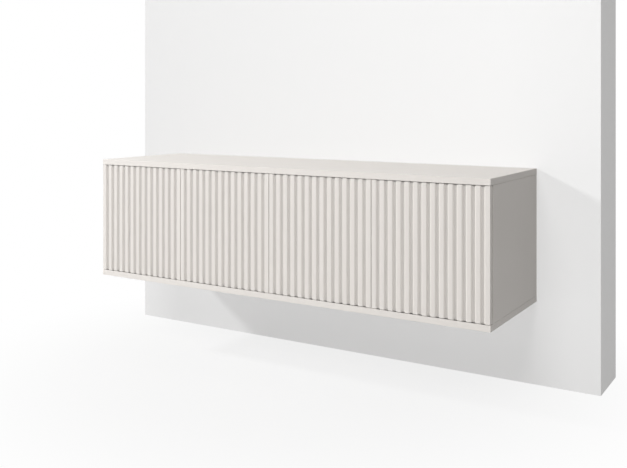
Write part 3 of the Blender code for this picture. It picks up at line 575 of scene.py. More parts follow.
def door_leaf(number):
    """A ribbed leaf, bored for its hinge cups, with painted shade on the faces inside its milled
    grooves.
    """
    leaf, hinges = sizes("leaves"), sizes("hinges")
    low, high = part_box(f"door_{number}")
    bm, bores = drafts(2)
    add_prism(bm, leaf_outline(low.x, high.x, low.y, high.y), low.z, high.z, leaf.edge_radius)
    reach, depth = hinges.cup_radius + CLEAR, hinges.cup_depth + CLEAR
    profile = ((0.0, MARGIN), (reach + MARGIN, MARGIN), (reach, -CLEAR), (reach, -depth), (0.0, -depth))
    for level in LEVELS:
        hinge = Hinge(number, level)
        add_turned(bores, profile, 64, moved(hinge.at()) @ Z_TO_Y)
        for point in flange_screws(hinge):
            add_rod(bores, point + Vector((0, MARGIN, 0)), point - Vector((0, SCREW_LENGTH, 0)),
                    SCREW_BORE)
    mesh = built(f"leaf_{number}", bm, bores)
    mesh.materials.clear()
    mesh.materials.append(finish("matt_lacquer"))
    mesh.materials.append(groove_lacquer())
    # The faces inside the grooves take the lacquer with painted shade
    within = MARGIN / 4
    for face in mesh.polygons:
        middle = face.center
        if (low.x + leaf.edge_rib < middle.x < high.x - leaf.edge_rib and abs(face.normal.z) < 0.5
                and low.y + within < middle.y < low.y + leaf.depth + within):
            face.material_index = 1
    door = f"door_{number}"
    place_piece(f"leaf_{number}", mesh, "matt_lacquer", "door_lacquer", centred(mesh), (door,),
                door + "_leaf")


class CABINET_OT_leaves(bpy.types.Operator):
    """Make the four ribbed door leaves"""
    bl_idname = "cabinet.leaves"
    bl_label = "Door leaves"

    def execute(self, context):
        for number in LEAVES:
            door_leaf(number)
        return {"FINISHED"}


# Boards

# Each upright's cam side and its peg sides
UPRIGHTS = {"left_side": (1, (1,)), "centre_partition": (-1, (-1, 1)), "right_side": (-1, (-1,))}


def rows(distances):
    """Distances from the uprights' front edges, as world y."""
    return [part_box("centre_partition")[0].y + distance for distance in distances]


def joints():
    """Where uprights meet the flat boards: height, and the way out."""
    return ((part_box("bottom_board")[1].z, -1), (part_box("top_board")[0].z, 1))


def flat_board(node):
    """A flat board with its bores as packed and its long edges softened."""
    bm = bmesh.new()
    bm.from_mesh(frame["nodes"][node].data)
    bmesh.ops.remove_doubles(bm, verts=bm.verts, dist=0.000002)
    bmesh.ops.dissolve_limit(bm, angle_limit=0.01, verts=bm.verts, edges=bm.edges)
    edges = [edge for edge in bm.edges if edge.calc_length() > 0.15 and len(edge.link_faces) == 2
             and edge.calc_face_angle_signed() > 1.0]
    bmesh.ops.bevel(bm, geom=edges, offset=sizes("boards").edge_radius, segments=3, profile=0.5,
                    affect="EDGES")
    place_whole(node, built(node + "_finished", bm), "matt_lacquer", "board_lacquer")


def upright(node):
    """A side board or the partition, bored for its cams, pegs, pins and hinge plates."""
    boards = sizes("boards")
    cam_way, peg_ways = UPRIGHTS[node]
    low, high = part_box(node)
    (low_z, _), (high_z, _) = joints()
    low.z, high.z = low_z + CLEAR, high_z - CLEAR
    middle = (low.x + high.x) / 2
    bm, bores = drafts(2)
    add_box(bm, low, high, boards.edge_radius)

    def bore(y, z, way, depth, radius, sides=40):
        face = middle + way * boards.thickness / 2
        add_rod(bores, (face + way * MARGIN, y, z), (face - way * depth, y, z), radius, sides)

    for way in peg_ways:
        for y in rows(boards.peg_rows):
            for step in (-1, 0, 1):
                bore(y, peg_height() + step * boards.peg_pitch, way, PEG_BORE,
                     boards.peg_radius + CLEAR / 2, 24)
    for y in rows(boards.cam_rows):
        for end, out in joints():
            bore(y, end - out * boards.cam_from_end, cam_way, boards.cam_depth + CLEAR,
                 boards.cam_radius + CLEAR / 2)
    for y, radius, depth in end_pins():
        for end, out in joints():
            add_rod(bores, (middle, y, end + out * MARGIN), (middle, y, end - out * depth),
                    radius + CLEAR)
    for hinge in [Hinge(number, level) for number in LEAVES for level in LEVELS]:
        if abs(hinge.at(hinge.panel_a).x - middle) < boards.thickness:
            for point in plate_screws(hinge):
                bore(point.y, point.z, hinge.way, SCREW_LENGTH, SCREW_BORE, 16)
    if len(peg_ways) == 1:
        back_low, back_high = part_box("back_board")
        reach = back_high.x if cam_way < 0 else -back_low.x
        add_box(bores, (-cam_way * (reach + CLEAR), back_low.y - CLEAR, 0.0),
                (middle + cam_way * boards.thickness, back_high.y + CLEAR, HIGH.z))
    look = "inside_lacquer" if node == "centre_partition" else "matt_lacquer"
    place_whole(node, built(node + "_finished", bm, bores), look, "board_lacquer")


def bolt_reach():
    """How far a bolt runs into an upright, up to its cam."""
    boards = sizes("boards")
    return boards.cam_from_end - boards.cam_radius - 3 * CLEAR


def end_pins():
    """World y, radius and depth of the bores for cam bolts and dowels in an upright's ends."""
    boards = sizes("boards")
    return ([(y, boards.bolt_radius, bolt_reach() + CLEAR) for y in rows(boards.cam_rows)]
            + [(y, boards.dowel_radius, boards.thickness / 2) for y in rows(boards.dowel_rows)])


def peg_height():
    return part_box("left_shelf")[0].z + sizes("boards").peg_radius


def shelf(node, side, peg):
    """A loose shelf on four pegs."""
    boards = sizes("boards")
    near, far = side * boards.thickness / 2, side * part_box("right_side")[0].x
    low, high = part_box(node)
    low.x, high.x = min(near, far) + SHELF_PLAY, max(near, far) - SHELF_PLAY
    low.z = high.z - boards.thickness
    bm = bmesh.new()
    add_box(bm, low, high, boards.edge_radius)
    place_whole(node, built(node + "_finished", bm), "inside_lacquer", "board_lacquer")
    places = [(face, way, y) for face, way in ((near, side), (far, -side))
              for y in rows(boards.peg_rows)]
    for count, (face, way, y) in enumerate(places, 1):
        where = moved((face, y, peg_height())) @ Matrix.Rotation(way * math.pi / 2, 4, "Y")
        place_piece(f"{node}_peg_{count}", peg, *FITTING, where)


def peg_mesh():
    """A turned peg: the part in the board, a collar, and the part that carries the shelf."""
    r = sizes("boards").peg_radius
    return turned("shelf_peg", ((0.0, 0.0090), (r * 0.7, 0.0090), (r, 0.0082), (r, 0.0016),
                                (r * 1.5, 0.0014), (r * 1.5, 0.0002), (r, 0.0), (r, -0.0068),
                                (r * 0.7, -0.0075), (0.0, -0.0075)), 24, 40)


def back_panel():
    """The thin back board with its cable holes and the openings for the hooks."""
    boards = sizes("boards")
    low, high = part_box("back_board")
    bm, holes = drafts(2)
    add_box(bm, low, high, 0.0003, 1)
    for side, name in ((-1, "left"), (1, "right")):
        x, z = side * (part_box("right_side")[0].x + boards.thickness / 2) / 2, boards.cable_hole_height
        add_rod(holes, (x, low.y - MARGIN, z), (x, high.y + MARGIN, z), boards.cable_hole_radius, 72)
        first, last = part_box(name + "_hanger_hook")
        room = 0.003
        opening = oblong(first.x - room, first.z - room, last.x + room, last.z + room)
        add_prism(holes, rounded(opening, room / 2, 5), -high.y - MARGIN, -low.y + MARGIN, place=Y_TO_Z)
    mesh = built("back_board_finished", bm, holes)
    place_whole("back_board", mesh, "painted_hardboard", "hardboard")


class CABINET_OT_boards(bpy.types.Operator):
    """Make the top and bottom boards, the uprights, the shelves on their pegs and the back board"""
    bl_idname = "cabinet.boards"
    bl_label = "Boards"

    def execute(self, context):
        flat_board("top_board")
        flat_board("bottom_board")
        for node in UPRIGHTS:
            upright(node)
        peg = peg_mesh()
        shelf("left_shelf", -1, peg)
        shelf("right_shelf", 1, peg)
        back_panel()
        return {"FINISHED"}


# Flat-pack joints

def turned(name, profile, sides, angle=30.0):
    bm = bmesh.new()
    add_turned(bm, profile, sides)
    return built(name, bm, angle=angle)


def crossed(name, profile, sides, reach, width, floor, top, *cuts):
    """A turned head with a cross recess between two heights."""
    bm, recess = drafts(2)
    add_turned(bm, profile, sides)
    w = width / 2
    add_prism(recess, [(reach, w), (w, w), (w, reach), (-w, reach), (-w, w), (-reach, w), (-reach, -w),
                       (-w, -w), (-w, -reach), (w, -reach), (w, -w), (reach, -w)], floor, top)
    return built(name, bm, recess, *cuts)


def cam_mesh():
    """A cam lock: a disc with a cross recess in its face and a hollow rim."""
    boards = sizes("boards")
    r, depth = boards.cam_radius - CLEAR, boards.cam_depth
    socket = bmesh.new()
    add_turned(socket, ((0.0, MARGIN), (r * 0.22, MARGIN), (r * 0.22, -0.0036), (0.0, -0.0042)), 24)
    profile = ((0.0, -0.0002), (r * 0.80, -0.0002), (r * 0.84, -0.0007), (r * 0.90, -0.0007),
               (r * 0.93, 0.0), (r * 0.98, 0.0), (r, -0.0003), (r, -depth), (0.0, -depth))
    return crossed("cam_lock", profile, 48, r * 0.62, r * 0.24, -0.0030, MARGIN, socket)


def bolt_mesh():
    """A cam bolt: thread in the flat board, a collar, and a neck and head for the cam."""
    r, end, into = sizes("boards").bolt_radius, -bolt_reach(), 0.0100
    profile = [(0.0, into)] + [(r if i % 2 else r * 0.78, into - 0.0006 * (i + 1)) for i in range(15)]
    profile += [(r, 0.0006), (r, -0.0010), (r * 0.6, -0.0014), (r * 0.6, end + 0.0026),
                (r * 0.95, end + 0.0020), (r * 0.95, end + 0.0006), (r * 0.5, end), (0.0, end)]
    return turned("cam_bolt", profile, 24)


def dowel_mesh():
    """A fluted wooden dowel with chamfered ends."""
    bm, flutes = bmesh.new(), 20
    r, half = sizes("boards").dowel_radius, sizes("boards").thickness / 2 - CLEAR
    outline = [(math.cos(t) * r * s, math.sin(t) * r * s) for t, s in
               [(math.pi * i / flutes, 0.93 if i % 2 else 1.0) for i in range(2 * flutes)]]
    add_prism(bm, outline, -half, half, 0.0012)
    return built("dowel", bm, angle=25)


class CABINET_OT_joints(bpy.types.Operator):
    """Make the cam locks, cam bolts and dowels that join the uprights to the flat boards"""
    bl_idname = "cabinet.joints"
    bl_label = "Cam locks and dowels"

    def execute(self, context):
        boards = sizes("boards")
        cam, bolt, dowel = cam_mesh(), bolt_mesh(), dowel_mesh()
        for node, (cam_way, _) in UPRIGHTS.items():
            low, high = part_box(node)
            face, middle = high.x if cam_way > 0 else low.x, (low.x + high.x) / 2
            turn = Matrix.Rotation(cam_way * math.pi / 2, 4, "Y")
            corners = [(y, end, out) for y in rows(boards.cam_rows) for end, out in joints()]
            for count, (y, end, out) in enumerate(corners, 1):
                spin = Matrix.Rotation(math.radians(20 + 35 * count), 4, "Z")
                place = moved((face, y, end - out * boards.cam_from_end)) @ turn @ spin
                place_piece(f"{node}_cam_{count}", cam, "cast_zinc", "zinc_steel", place)
                place = moved((middle, y, end)) @ (Matrix() if out > 0 else UPSIDE_DOWN)
                place_piece(f"{node}_bolt_{count}", bolt, *FITTING, place)
            corners = [(y, end) for y in rows(boards.dowel_rows) for end, _ in joints()]
            for count, (y, end) in enumerate(corners, 1):
                place_piece(f"{node}_dowel_{count}", dowel, "dowel_wood", "board_lacquer",
                            moved((middle, y, end)))
        return {"FINISHED"}


# Hinges

def screw_mesh():
    """A pan-head wood screw with a cross recess; the head stands on zero."""
    hinges = sizes("hinges")
    r, height, shank = hinges.screw_radius, hinges.screw_head, hinges.screw_shank
    profile = ((0.0, height), (r * 0.55, height), (r * 0.80, height * 0.86), (r * 0.94, height * 0.58),
               (r, height * 0.25), (r * 0.98, 0.0), (shank, 0.0), (shank, -0.0075), (0.0, -0.0092))
    return crossed("wood_screw", profile, 36, r * 0.58, r * 0.22, height * 0.25, height + MARGIN)


def set_screw_mesh(name, r):
    """An adjusting screw's head with a cross recess, its face on zero."""
    profile = ((0.0, 0.0), (r * 0.85, 0.0), (r, -0.0003), (r, -0.0014), (0.0, -0.0014))
    return crossed(name, profile, 36, r * 0.62, r * 0.24, -0.0010, MARGIN)


def flange_screws(hinge):
    hinges = sizes("hinges")
    a, out = hinges.cup_radius - hinges.ear_inset, hinges.cup_radius + hinges.ear_screw
    return [hinge.at(a, CLEAR + hinges.flange, way * out) for way in (-1, 1)]


def plate_screws(hinge):
    hinges = sizes("hinges")
    a = hinge.panel_a + CLEAR + hinges.plate
    return [hinge.at(a, PLATE_B, way * hinges.plate_screws / 2) for way in (-1, 1)]


def cup_mesh(way):
    """The pressed cup with its flange, ears, notch and pins."""
    h = sizes("hinges")
    radius, inside, top, base = h.cup_radius, h.cup_radius - h.cup_wall, CLEAR + h.flange, -h.cup_depth
    pot, flange, hollow, notch, pins = drafts(5)
    add_turned(pot, [(0.0, top - 0.0004), (radius, top - 0.0004), (radius, base + 0.0008),
                     (radius - 0.0003, base + 0.0003), (radius - 0.0008, base), (0.0, base)], 64, Z_TO_Y)
    collar, tip, corner = radius + 0.0010, radius + h.ear_screw + 0.0055, 0.0025
    near, far = (radius - h.ear_inset + half * h.ear_width for half in (-0.5, 0.5))
    first, second = math.acos(near / collar), math.acos(far / collar)
    ring = arc((0, 0), collar, first, 2 * math.pi - first, 48)
    side = arc((0, 0), collar, -second, second, 12)
    outline = rounded(ring + [(near, -tip), (far, -tip)] + side + [(far, tip), (near, tip)],
                      [0.0] * len(ring) + [corner] * 2 + [0.0] * len(side) + [corner] * 2, 6)
    add_prism(flange, plan(way, outline), -top, -CLEAR, 0.0002, Y_TO_Z)
    floor, fillet, lip = h.cup_floor - h.cup_depth, 0.0016, 0.0006
    profile = [(0.0, top + MARGIN), (inside + lip + MARGIN, top + MARGIN), (inside + lip, top),
               (inside + 0.0002, top - 0.0003), (inside, top - 0.0007)]
    profile += arc((inside - fillet, floor + fillet), fillet, 0.0, -math.pi / 2, 6) + [(0.0, floor)]
    add_turned(hollow, profile, 64, Z_TO_Y)
    pin_a, pin_b = CUP_PIN_OUTER
    add_box(notch, (way * -2 * radius, -0.0040, -LINK_HIGH - CLEAR),
            (way * (pin_a - PIN_R - CLEAR), h.cup_depth, LINK_HIGH + CLEAR), 0.0006)
    wall = math.sqrt((radius - h.cup_wall / 2) ** 2 - pin_a ** 2)
    x = way * pin_a
    for side in (-1, 1):
        add_rod(pins, (x, pin_b, side * (LINK_LOW - CLEAR)), (x, pin_b, side * wall), PIN_R)
    return built("hinge_cup", pot, ("UNION", flange), hollow, notch, ("UNION", pins))


def link_outline(path):
    """A link's outline: a bent bar of even width that swells to an eye at each end."""
    bends = rounded(path, [0.0] + [0.0030] * (len(path) - 2) + [0.0], 6)
    points = [Vector(bends[0])]
    for end in map(Vector, bends[1:]):
        start, count = points[-1], max(1, math.ceil((end - points[-1]).length / 0.0004))
        points += [start.lerp(end, i / count) for i in range(1, count + 1)]
    left, right = [], []
    for i, point in enumerate(points):
        along = (points[min(i + 1, len(points) - 1)] - points[max(i - 1, 0)]).normalized()
        swell = [eye ** 2 - (point - points[end]).length_squared
                 for eye, end in ((EYE_CUP, 0), (EYE_ARM, -1))]
        half = max(LINK_HALF, *(math.sqrt(max(value, 0.0)) for value in swell))
        across = Vector((-along.y, along.x)) * half
        left.append(point + across)
        right.append(point - across)

    def cap(centre, start):
        angle = math.atan2(start.y - centre.y, start.x - centre.x)
        return arc(centre, (start - centre).length, angle, angle - math.pi, 12)[1:-1]

    outline = left + cap(points[-1], left[-1]) + right[::-1] + cap(points[0], right[0])
    return [tuple(point) for point in outline]


def link_path(start, start_bends, end, end_bends):
    points = [start] + [(start[0] + a, start[1] + b) for a, b in start_bends]
    return points + [(end[0] + a, end[1] + b) for a, b in end_bends] + [end]


def link_mesh(name, way, path, half_height, slot=None):
    """A link with an eye at each end; a slot leaves room for the other link between its cheeks."""
    bm, holes = drafts(2)
    add_prism(bm, plan(way, link_outline(path)), -half_height, half_height, 0.0002)
    for x, y in plan(way, (path[0], path[-1])):
        add_rod(holes, (x, y, -2 * half_height), (x, y, 2 * half_height), PIN_R + CLEAR / 2)
    if slot is not None:
        add_box(holes, (-0.03, -0.02, -slot), (0.03, ARM_PIN_OUTER[1] - EYE_ARM, slot), 0.0004)
    return built(name, bm, holes)


def arm_mesh(hinge):
    """The pressed arm: forked nose with riveted pins, and seats for the adjusting screws on its top."""
    way = hinge.way
    (outer_a, outer_b), (inner_a, inner_b) = ARM_PIN_OUTER, ARM_PIN_INNER
    base, end = hinge.panel_a + CLEAR + sizes("hinges").plate - 0.0001, outer_b + ARM_LENGTH
    heel, top, high = outer_b + 2 * ARM_WEB, outer_a + ARM_WEB, LINK_HIGH + CLEAR + 0.0017
    points = [(base, end + 0.0002), (base, heel), (outer_a - ARM_WEB, heel - ARM_WEB),
              (outer_a - ARM_WEB * 0.7, outer_b - ARM_WEB * 0.6)]
    nose = arc(ARM_PIN_INNER, 0.0024, math.radians(223), math.radians(375), 16)
    radii = [0.0, 0.0020, 0.0020, 0.0010] + [0.0] * len(nose) + [0.0015, 0.0030, 0.0010]
    points += nose + [(inner_a, outer_b + ARM_WEB), (top, heel), (top, end + 0.0002)]
    arm, tail, cuts, pins = drafts(4)
    add_prism(arm, plan(way, rounded(points, radii, 5)), -high, high, 0.0006)
    r, start, edge = 0.0030, -BEYOND / 2, high + MARGIN
    outline = [(start, -edge), (end - r, -edge)] + arc((end - r, -high + r), r, -math.pi / 2, 0.0, 6)
    outline += arc((end - r, high - r), r, 0.0, math.pi / 2, 6) + [(end - r, edge), (start, edge)]
    add_prism(tail, outline, -BEYOND, BEYOND, 0.0, SIDEWAYS)
    add_box(cuts, (-BEYOND, start, -LINK_HIGH - CLEAR),
            (BEYOND, outer_b + EYE_ARM + CLEAR, LINK_HIGH + CLEAR), 0.0008)
    for _, b, radius in SET_SCREWS:
        add_rod(cuts, (way * (top + MARGIN), b, 0.0), (way * (top - 0.0016), b, 0.0), radius + CLEAR, 40)
    add_box(cuts, (way * (top - 0.0009), end - 0.0085, -edge),
            (way * (top + MARGIN), end - 0.0075, edge))
    rivet = ((0.0, 0.0003), (0.0009, 0.00025), (0.0014, 0.0), (0.0014, -0.0003), (0.0, -0.0003))
    for a, b in (ARM_PIN_OUTER, ARM_PIN_INNER):
        add_rod(pins, (way * a, b, -high + 0.0004), (way * a, b, high - 0.0004), PIN_R)
        for side, turn in ((-1, UPSIDE_DOWN), (1, Matrix())):
            add_turned(pins, rivet, 24, moved((way * a, b, side * high)) @ turn)
    return built("hinge_arm", arm, ("INTERSECT", tail), cuts, ("UNION", pins))


def plate_mesh(hinge):
    """The cross-shaped mounting plate with a slotted hole in each wing."""
    h = sizes("hinges")
    quarter = [(0.0080, 0.0220), (0.0080, 0.0090), (0.0170, 0.0090)]
    outline = (quarter + [(y, -z) for y, z in quarter[::-1]] + [(-y, -z) for y, z in quarter]
               + [(-y, z) for y, z in quarter[::-1]])
    bm, slots = drafts(2)
    place = moved((hinge.way * (hinge.panel_a + CLEAR + h.plate / 2), PLATE_B, 0.0)) @ SIDEWAYS
    add_prism(bm, rounded(outline, 0.0022, 6), -h.plate / 2, h.plate / 2, 0.0005, place)
    for z in (-h.plate_screws / 2, h.plate_screws / 2):
        slot = rounded(oblong(-0.0020, z - 0.0045, 0.0020, z + 0.0045), 0.00199, 8)
        add_prism(slots, slot, -h.plate, h.plate, 0.0, place)
    return built("mounting_plate", bm, slots)


class CABINET_OT_hinges(bpy.types.Operator):
    """Make the eight concealed hinges: cups, links, arms, mounting plates and screws"""
    bl_idname = "cabinet.hinges"
    bl_label = "Cup hinges"

    def execute(self, context):
        outer = link_path(CUP_PIN_OUTER, OUTER_CUP_BENDS, ARM_PIN_OUTER, OUTER_ARM_BENDS)
        inner = link_path(CUP_PIN_INNER, INNER_CUP_BENDS, ARM_PIN_INNER, INNER_ARM_BENDS)
        screw = screw_mesh()
        set_screws = [(name, b, set_screw_mesh(name, radius)) for name, b, radius in SET_SCREWS]
        shared = {way: (cup_mesh(way), link_mesh("outer_link", way, outer, LINK_HIGH, LINK_LOW),
                        link_mesh("inner_link", way, inner, INNER_LINK_HIGH)) for way in (1, -1)}
        steel = ("plated_steel", "hinge_steel")
        for number in LEAVES:
            leaf = f"door_{number}_leaf"
            arm, plate = arm_mesh(Hinge(number, "lower")), plate_mesh(Hinge(number, "lower"))
            for hinge in (Hinge(number, level) for level in LEVELS):
                bodies = leaf, f"door_{number}_outer_links", f"door_{number}_inner_links", "cabinet"
                parts = zip(("cup", "outer_link", "inner_link", "arm"), (*shared[hinge.way], arm),
                            bodies)
                place = moved(hinge.place)
                for part, mesh, body in parts:
                    node = hinge.name + part
                    place_piece(node + "_finished", mesh, *steel, place, (node,), body)
                place_piece(hinge.name + "plate", plate, *steel, place)
                turn = Matrix.Rotation(hinge.way * math.pi / 2, 4, "Y")
                for kind, points, way_in, body in (("cup", flange_screws(hinge), Z_TO_Y, leaf),
                                                   ("plate", plate_screws(hinge), turn, "cabinet")):
                    for count, point in enumerate(points, 1):
                        place_piece(f"{hinge.name}{kind}_screw_{count}", screw, *steel,
                                    moved(point) @ way_in, body=body)
                top = ARM_PIN_OUTER[0] + ARM_WEB - 0.0002
                for name, b, mesh in set_screws:
                    place_piece(hinge.name + name, mesh, *steel, moved(hinge.at(top, b)) @ turn)
        return {"FINISHED"}


# Latches

def latch_mesh(length, height):
    """A latch's housing along y, with screw ears, a nose ring and side grooves."""
    body, ears, cuts = drafts(3)
    width, middle = LATCH_WIDTH, length / 2
    add_box(body, (-width / 2, 0.0, -height / 2), (width / 2, length, height / 2), 0.0014)
    ear = rounded(oblong(-0.017, middle - 0.006, 0.017, middle + 0.006), 0.0055, 10)
    add_prism(ears, ear, height / 2 - LATCH_EAR, height / 2 - 0.00005, 0.0003)
    add_turned(cuts, ((0.0, MARGIN), (0.0055, MARGIN), (0.0055, -0.0005), (0.0043, -0.0011),
                      (0.0043, -0.0425), (0.0, -0.0425)), 40, Y_TO_Z)
    for side in (-1, 1):
        for z in (-0.0032, 0.0012):
            add_box(cuts, (side * (width / 2 - 0.0006), 0.010, z),
                    (side * (width / 2 + MARGIN), length - 0.008, z + 0.0020))
        x = side * LATCH_SCREW
        add_rod(cuts, (x, middle, 0.0), (x, middle, height), 0.0018, 20)
    add_box(cuts, (-width * 0.28, length * 0.62, -height / 2 - MARGIN),
            (width * 0.28, length * 0.86, -height / 2 + 0.0007))
    return built("latch_housing", body, ("UNION", ears), cuts)


def plunger_mesh(radius, length):
    """The sprung plunger along z from its tip, with a seat for the soft tip."""
    r, waist = radius * 0.96, radius * 0.90
    return turned("plunger_rod", ((0.0, -0.0010), (radius * 0.80, -0.0010), (r, -0.0014), (r, -0.0060),
                                  (waist, -0.0064), (waist, -0.0072), (r, -0.0076), (r, -length),
                                  (0.0, -length)), 36)


def tip_mesh(radius):
    """The soft tip: a domed disc."""
    dome = [(radius * (0.45 + 0.4 * math.sin(t)), -0.0007 * (1 - math.cos(t)))
            for t in [i * math.pi / 16 for i in range(9)]]
    profile = [(0.0, 0.0)] + dome + [(radius * 0.85, -0.0012), (0.0, -0.0012)]
    return turned("plunger_tip", profile, 36, 50)


class CABINET_OT_latches(bpy.types.Operator):
    """Make the push latches: housing, two screws, and the sprung plunger with its soft tip"""
    bl_idname = "cabinet.latches"
    bl_label = "Push latches"

    def execute(self, context):
        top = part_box("top_board")[0].z - CLEAR
        screw = screw_mesh()
        low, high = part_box("door_1_latch")
        housing = latch_mesh(high.y - low.y, 2 * (top - middle_of("door_1_plunger").z))
        low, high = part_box("door_1_plunger")
        radius = (high.x - low.x) / 2
        rod, tip = plunger_mesh(radius, high.y - low.y), tip_mesh(radius)
        for number in LEAVES:
            latch, plunger = f"door_{number}_latch", f"door_{number}_plunger"
            low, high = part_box(latch)
            x, _, z = middle_of(plunger)
            place_piece(latch + "_finished", housing, "grey_moulding", "grey_plastic",
                        moved((x, low.y, z)), (latch,))
            for count, side in enumerate((-1, 1), 1):
                place = moved((x + side * LATCH_SCREW, (low.y + high.y) / 2, top - LATCH_EAR))
                place_piece(f"{latch}_screw_{count}", screw, *FITTING, place @ UPSIDE_DOWN)
            face = moved((x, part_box(plunger)[0].y, z)) @ Y_TO_Z
            place_piece(plunger + "_rod", rod, "white_moulding", "white_plastic", face, (plunger,),
                        plunger)
            place_piece(plunger + "_tip", tip, "soft_tip", "grey_plastic", face, body=plunger)
        return {"FINISHED"}


# Hanging hardware

def hanger(name, side, big_screw):
    """A cabinet hanger: moulded housing with ribs, a panel and two screws, and its steel hook."""
    node, hook_node = name + "_hanger", name + "_hanger_hook"
    low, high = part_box(node)
    face = side * (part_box("right_side")[0].x - CLEAR)
    inner = face - side * HANGER_WIDTH
    low.x, high.x = sorted((face, inner))
    x, heights = (low.x + high.x) / 2, (low.z + HANGER_SCREW_LOW, high.z - HANGER_SCREW_HIGH)
    first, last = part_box(hook_node)
    body, cuts = drafts(2)
    add_box(body, low, high, 0.0016)
    for z in heights:
        add_rod(cuts, (x, low.y - MARGIN, z), (x, low.y + 0.0022, z), 0.0048, 40)
    for i in range(6):
        y = low.y + 0.010 + i * 0.0072
        add_box(cuts, (inner - side * MARGIN, y, low.z + 0.006),
                (inner + side * 0.0012, y + 0.0040, high.z - 0.006))
    add_box(cuts, (first.x - CLEAR, first.y - CLEAR, first.z + 0.011),
            (last.x + CLEAR, high.y + MARGIN, last.z + CLEAR))
    mesh = built(node + "_housing", body, cuts)
    place_piece(node + "_housing", mesh, "white_moulding", "white_plastic", centred(mesh), (node,))
    for count, z in enumerate(heights, 1):
        place = moved((x, low.y + 0.0006, z)) @ Y_TO_Z
        place_piece(f"{node}_screw_{count}", big_screw, *FITTING, place)
    back, top = last.y - HOOK_SHEET, last.z - HOOK_SHEET
    outline = rounded([(first.y, top), (back, top), (back, first.z), (last.y, first.z), (last.y, last.z),
                       (first.y, last.z)], [0.0008, 0.0008, 0.0012, 0.0012, 0.0036, 0.0008], 6)
    hook = bmesh.new()
    add_prism(hook, outline, first.x, last.x, 0.0004, SIDEWAYS)
    mesh = built(name + "_hook_finished", hook)
    place_piece(name + "_hook_finished", mesh, *FITTING, centred(mesh), (hook_node,))


def wall_rail():
    """The bent wall rail with five screw holes."""
    low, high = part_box("wall_rail")
    t, step = RAIL_SHEET, high.z - RAIL_STEP
    front, back = low.y, high.y - t
    section = [(front, high.z), (front, step - t), (back, step - t), (back, low.z), (high.y, low.z),
               (high.y, step), (front + t, step), (front + t, high.z)]
    bm, holes = drafts(2)
    outline = rounded(section, [0.0004, 0.0026, 0.0006, 0.0004] * 2, 6)
    add_prism(bm, outline, low.x, high.x, 0.0004, SIDEWAYS)
    z, first = (low.z + step - t) / 2, low.x + 0.040
    for i in range(RAIL_HOLES):
        x = first - 2 * first * i / (RAIL_HOLES - 1)
        add_rod(holes, (x, high.y - 2 * t, z), (x, high.y + t, z), RAIL_HOLE_R, 36)
    mesh = built("wall_rail_finished", bm, holes)
    place_whole("wall_rail", mesh, *FITTING)


class CABINET_OT_hanging(bpy.types.Operator):
    """Make the cabinet hangers with their hooks, and the wall rail that they hang on"""
    bl_idname = "cabinet.hanging"
    bl_label = "Hangers and wall rail"

    def execute(self, context):
        big_screw = set_screw_mesh("hanger_screw", 0.0042)
        hanger("left", -1, big_screw)
        hanger("right", 1, big_screw)
        wall_rail()
        return {"FINISHED"}


# Stage

def flat_piece(name, corners, material):
    mesh = bpy.data.meshes.new(name)
    mesh.from_pydata(corners, [], [tuple(range(len(corners)))])
    mesh.materials.append(material)
    obj = bpy.data.objects.new(name, mesh)
    bpy.context.scene.collection.objects.link(obj)


def seen_directly(tree):
    """A node that gives 1 for camera, glossy and transmission rays."""
    path = add_node(tree, "LightPath", (-500, 300))
    first, second = (math_node(tree, "MAXIMUM", (x, 300)) for x in (-300, -100))
    wire(tree, (path, "Is Camera Ray", first, 0), (path, "Is Glossy Ray", first, 1),
         (first, 0, second, 0), (path, "Is Transmission Ray", second, 1))
    return second


def matt_material(name):
    """A fully rough material, its emission node and the node that mixes what camera rays see."""
    material, tree, surface = new_material(name)
    surface.inputs["Roughness"].default_value = 1.0
    surface.inputs["Specular IOR Level"].default_value = 0.0
    glow = add_node(tree, "Emission", (0, -400))
    mix = add_node(tree, "MixShader", (500, 0))
    share = math_node(tree, "MULTIPLY", (200, 200))
    wire(tree, (seen_directly(tree), 0, share, 0), (share, 0, mix, 0),
         (mix, 0, tree.nodes["Material Output"], "Surface"))
    return material, tree, surface, glow, mix, share


def floor_material():
    """White floor that keeps a faint shadow near the cabinet and fades to pure white away from it."""
    material, tree, surface, glow, mix, share = matt_material("studio_floor")
    surface.inputs["Base Color"].default_value = (0.60, 0.60, 0.60, 1.0)
    where = add_node(tree, "TexCoord", (-700, 0))
    away = add_node(tree, "VectorMath", (-500, 0), operation="LENGTH")
    fade = add_node(tree, "MapRange", (-300, 0),
                    {"From Min": 0.45, "From Max": 1.3, "To Min": 0.80, "To Max": 1.0},
                    interpolation_type="SMOOTHSTEP")
    wire(tree, (where, "Object", away, 0), (away, "Value", fade, "Value"), (fade, 0, share, 1),
         (surface, 0, mix, 1), (glow, 0, mix, 2))
    return material


def wall_material(name, glow_share, left_level, right_level):
    """White wall, seen from its front only; it keeps no light from the cabinet and glows a little. Its
    colour carries painted shade: darker towards the left, and darker still on the wall's end.
    """
    material, tree, surface, glow, mix, shown = matt_material(name)
    where = add_node(tree, "TexCoord", (-900, -200))
    split = add_node(tree, "SeparateXYZ", (-700, -200))
    # Painted shade: the wall's colour darkens towards the left, where the left lamp falls on it more
    level = add_node(tree, "MapRange", (-500, -200),
                     {"From Min": -0.9, "From Max": 0.6, "To Min": left_level, "To Max": right_level})
    facing = add_node(tree, "NewGeometry", (-500, 0))
    front = math_node(tree, "SUBTRACT", (-300, 0), {0: 1.0})
    clear = add_node(tree, "BsdfTransparent", (0, -200))
    lit = add_node(tree, "MixShader", (300, -200), {0: glow_share})
    wire(tree, (where, "Object", split, 0), (split, "X", level, "Value"),
         (level, 0, surface, "Base Color"), (facing, "Backfacing", front, 1), (front, 0, shown, 1),
         (surface, 0, lit, 1), (glow, 0, lit, 2), (clear, 0, mix, 1), (lit, 0, mix, 2))
    return material


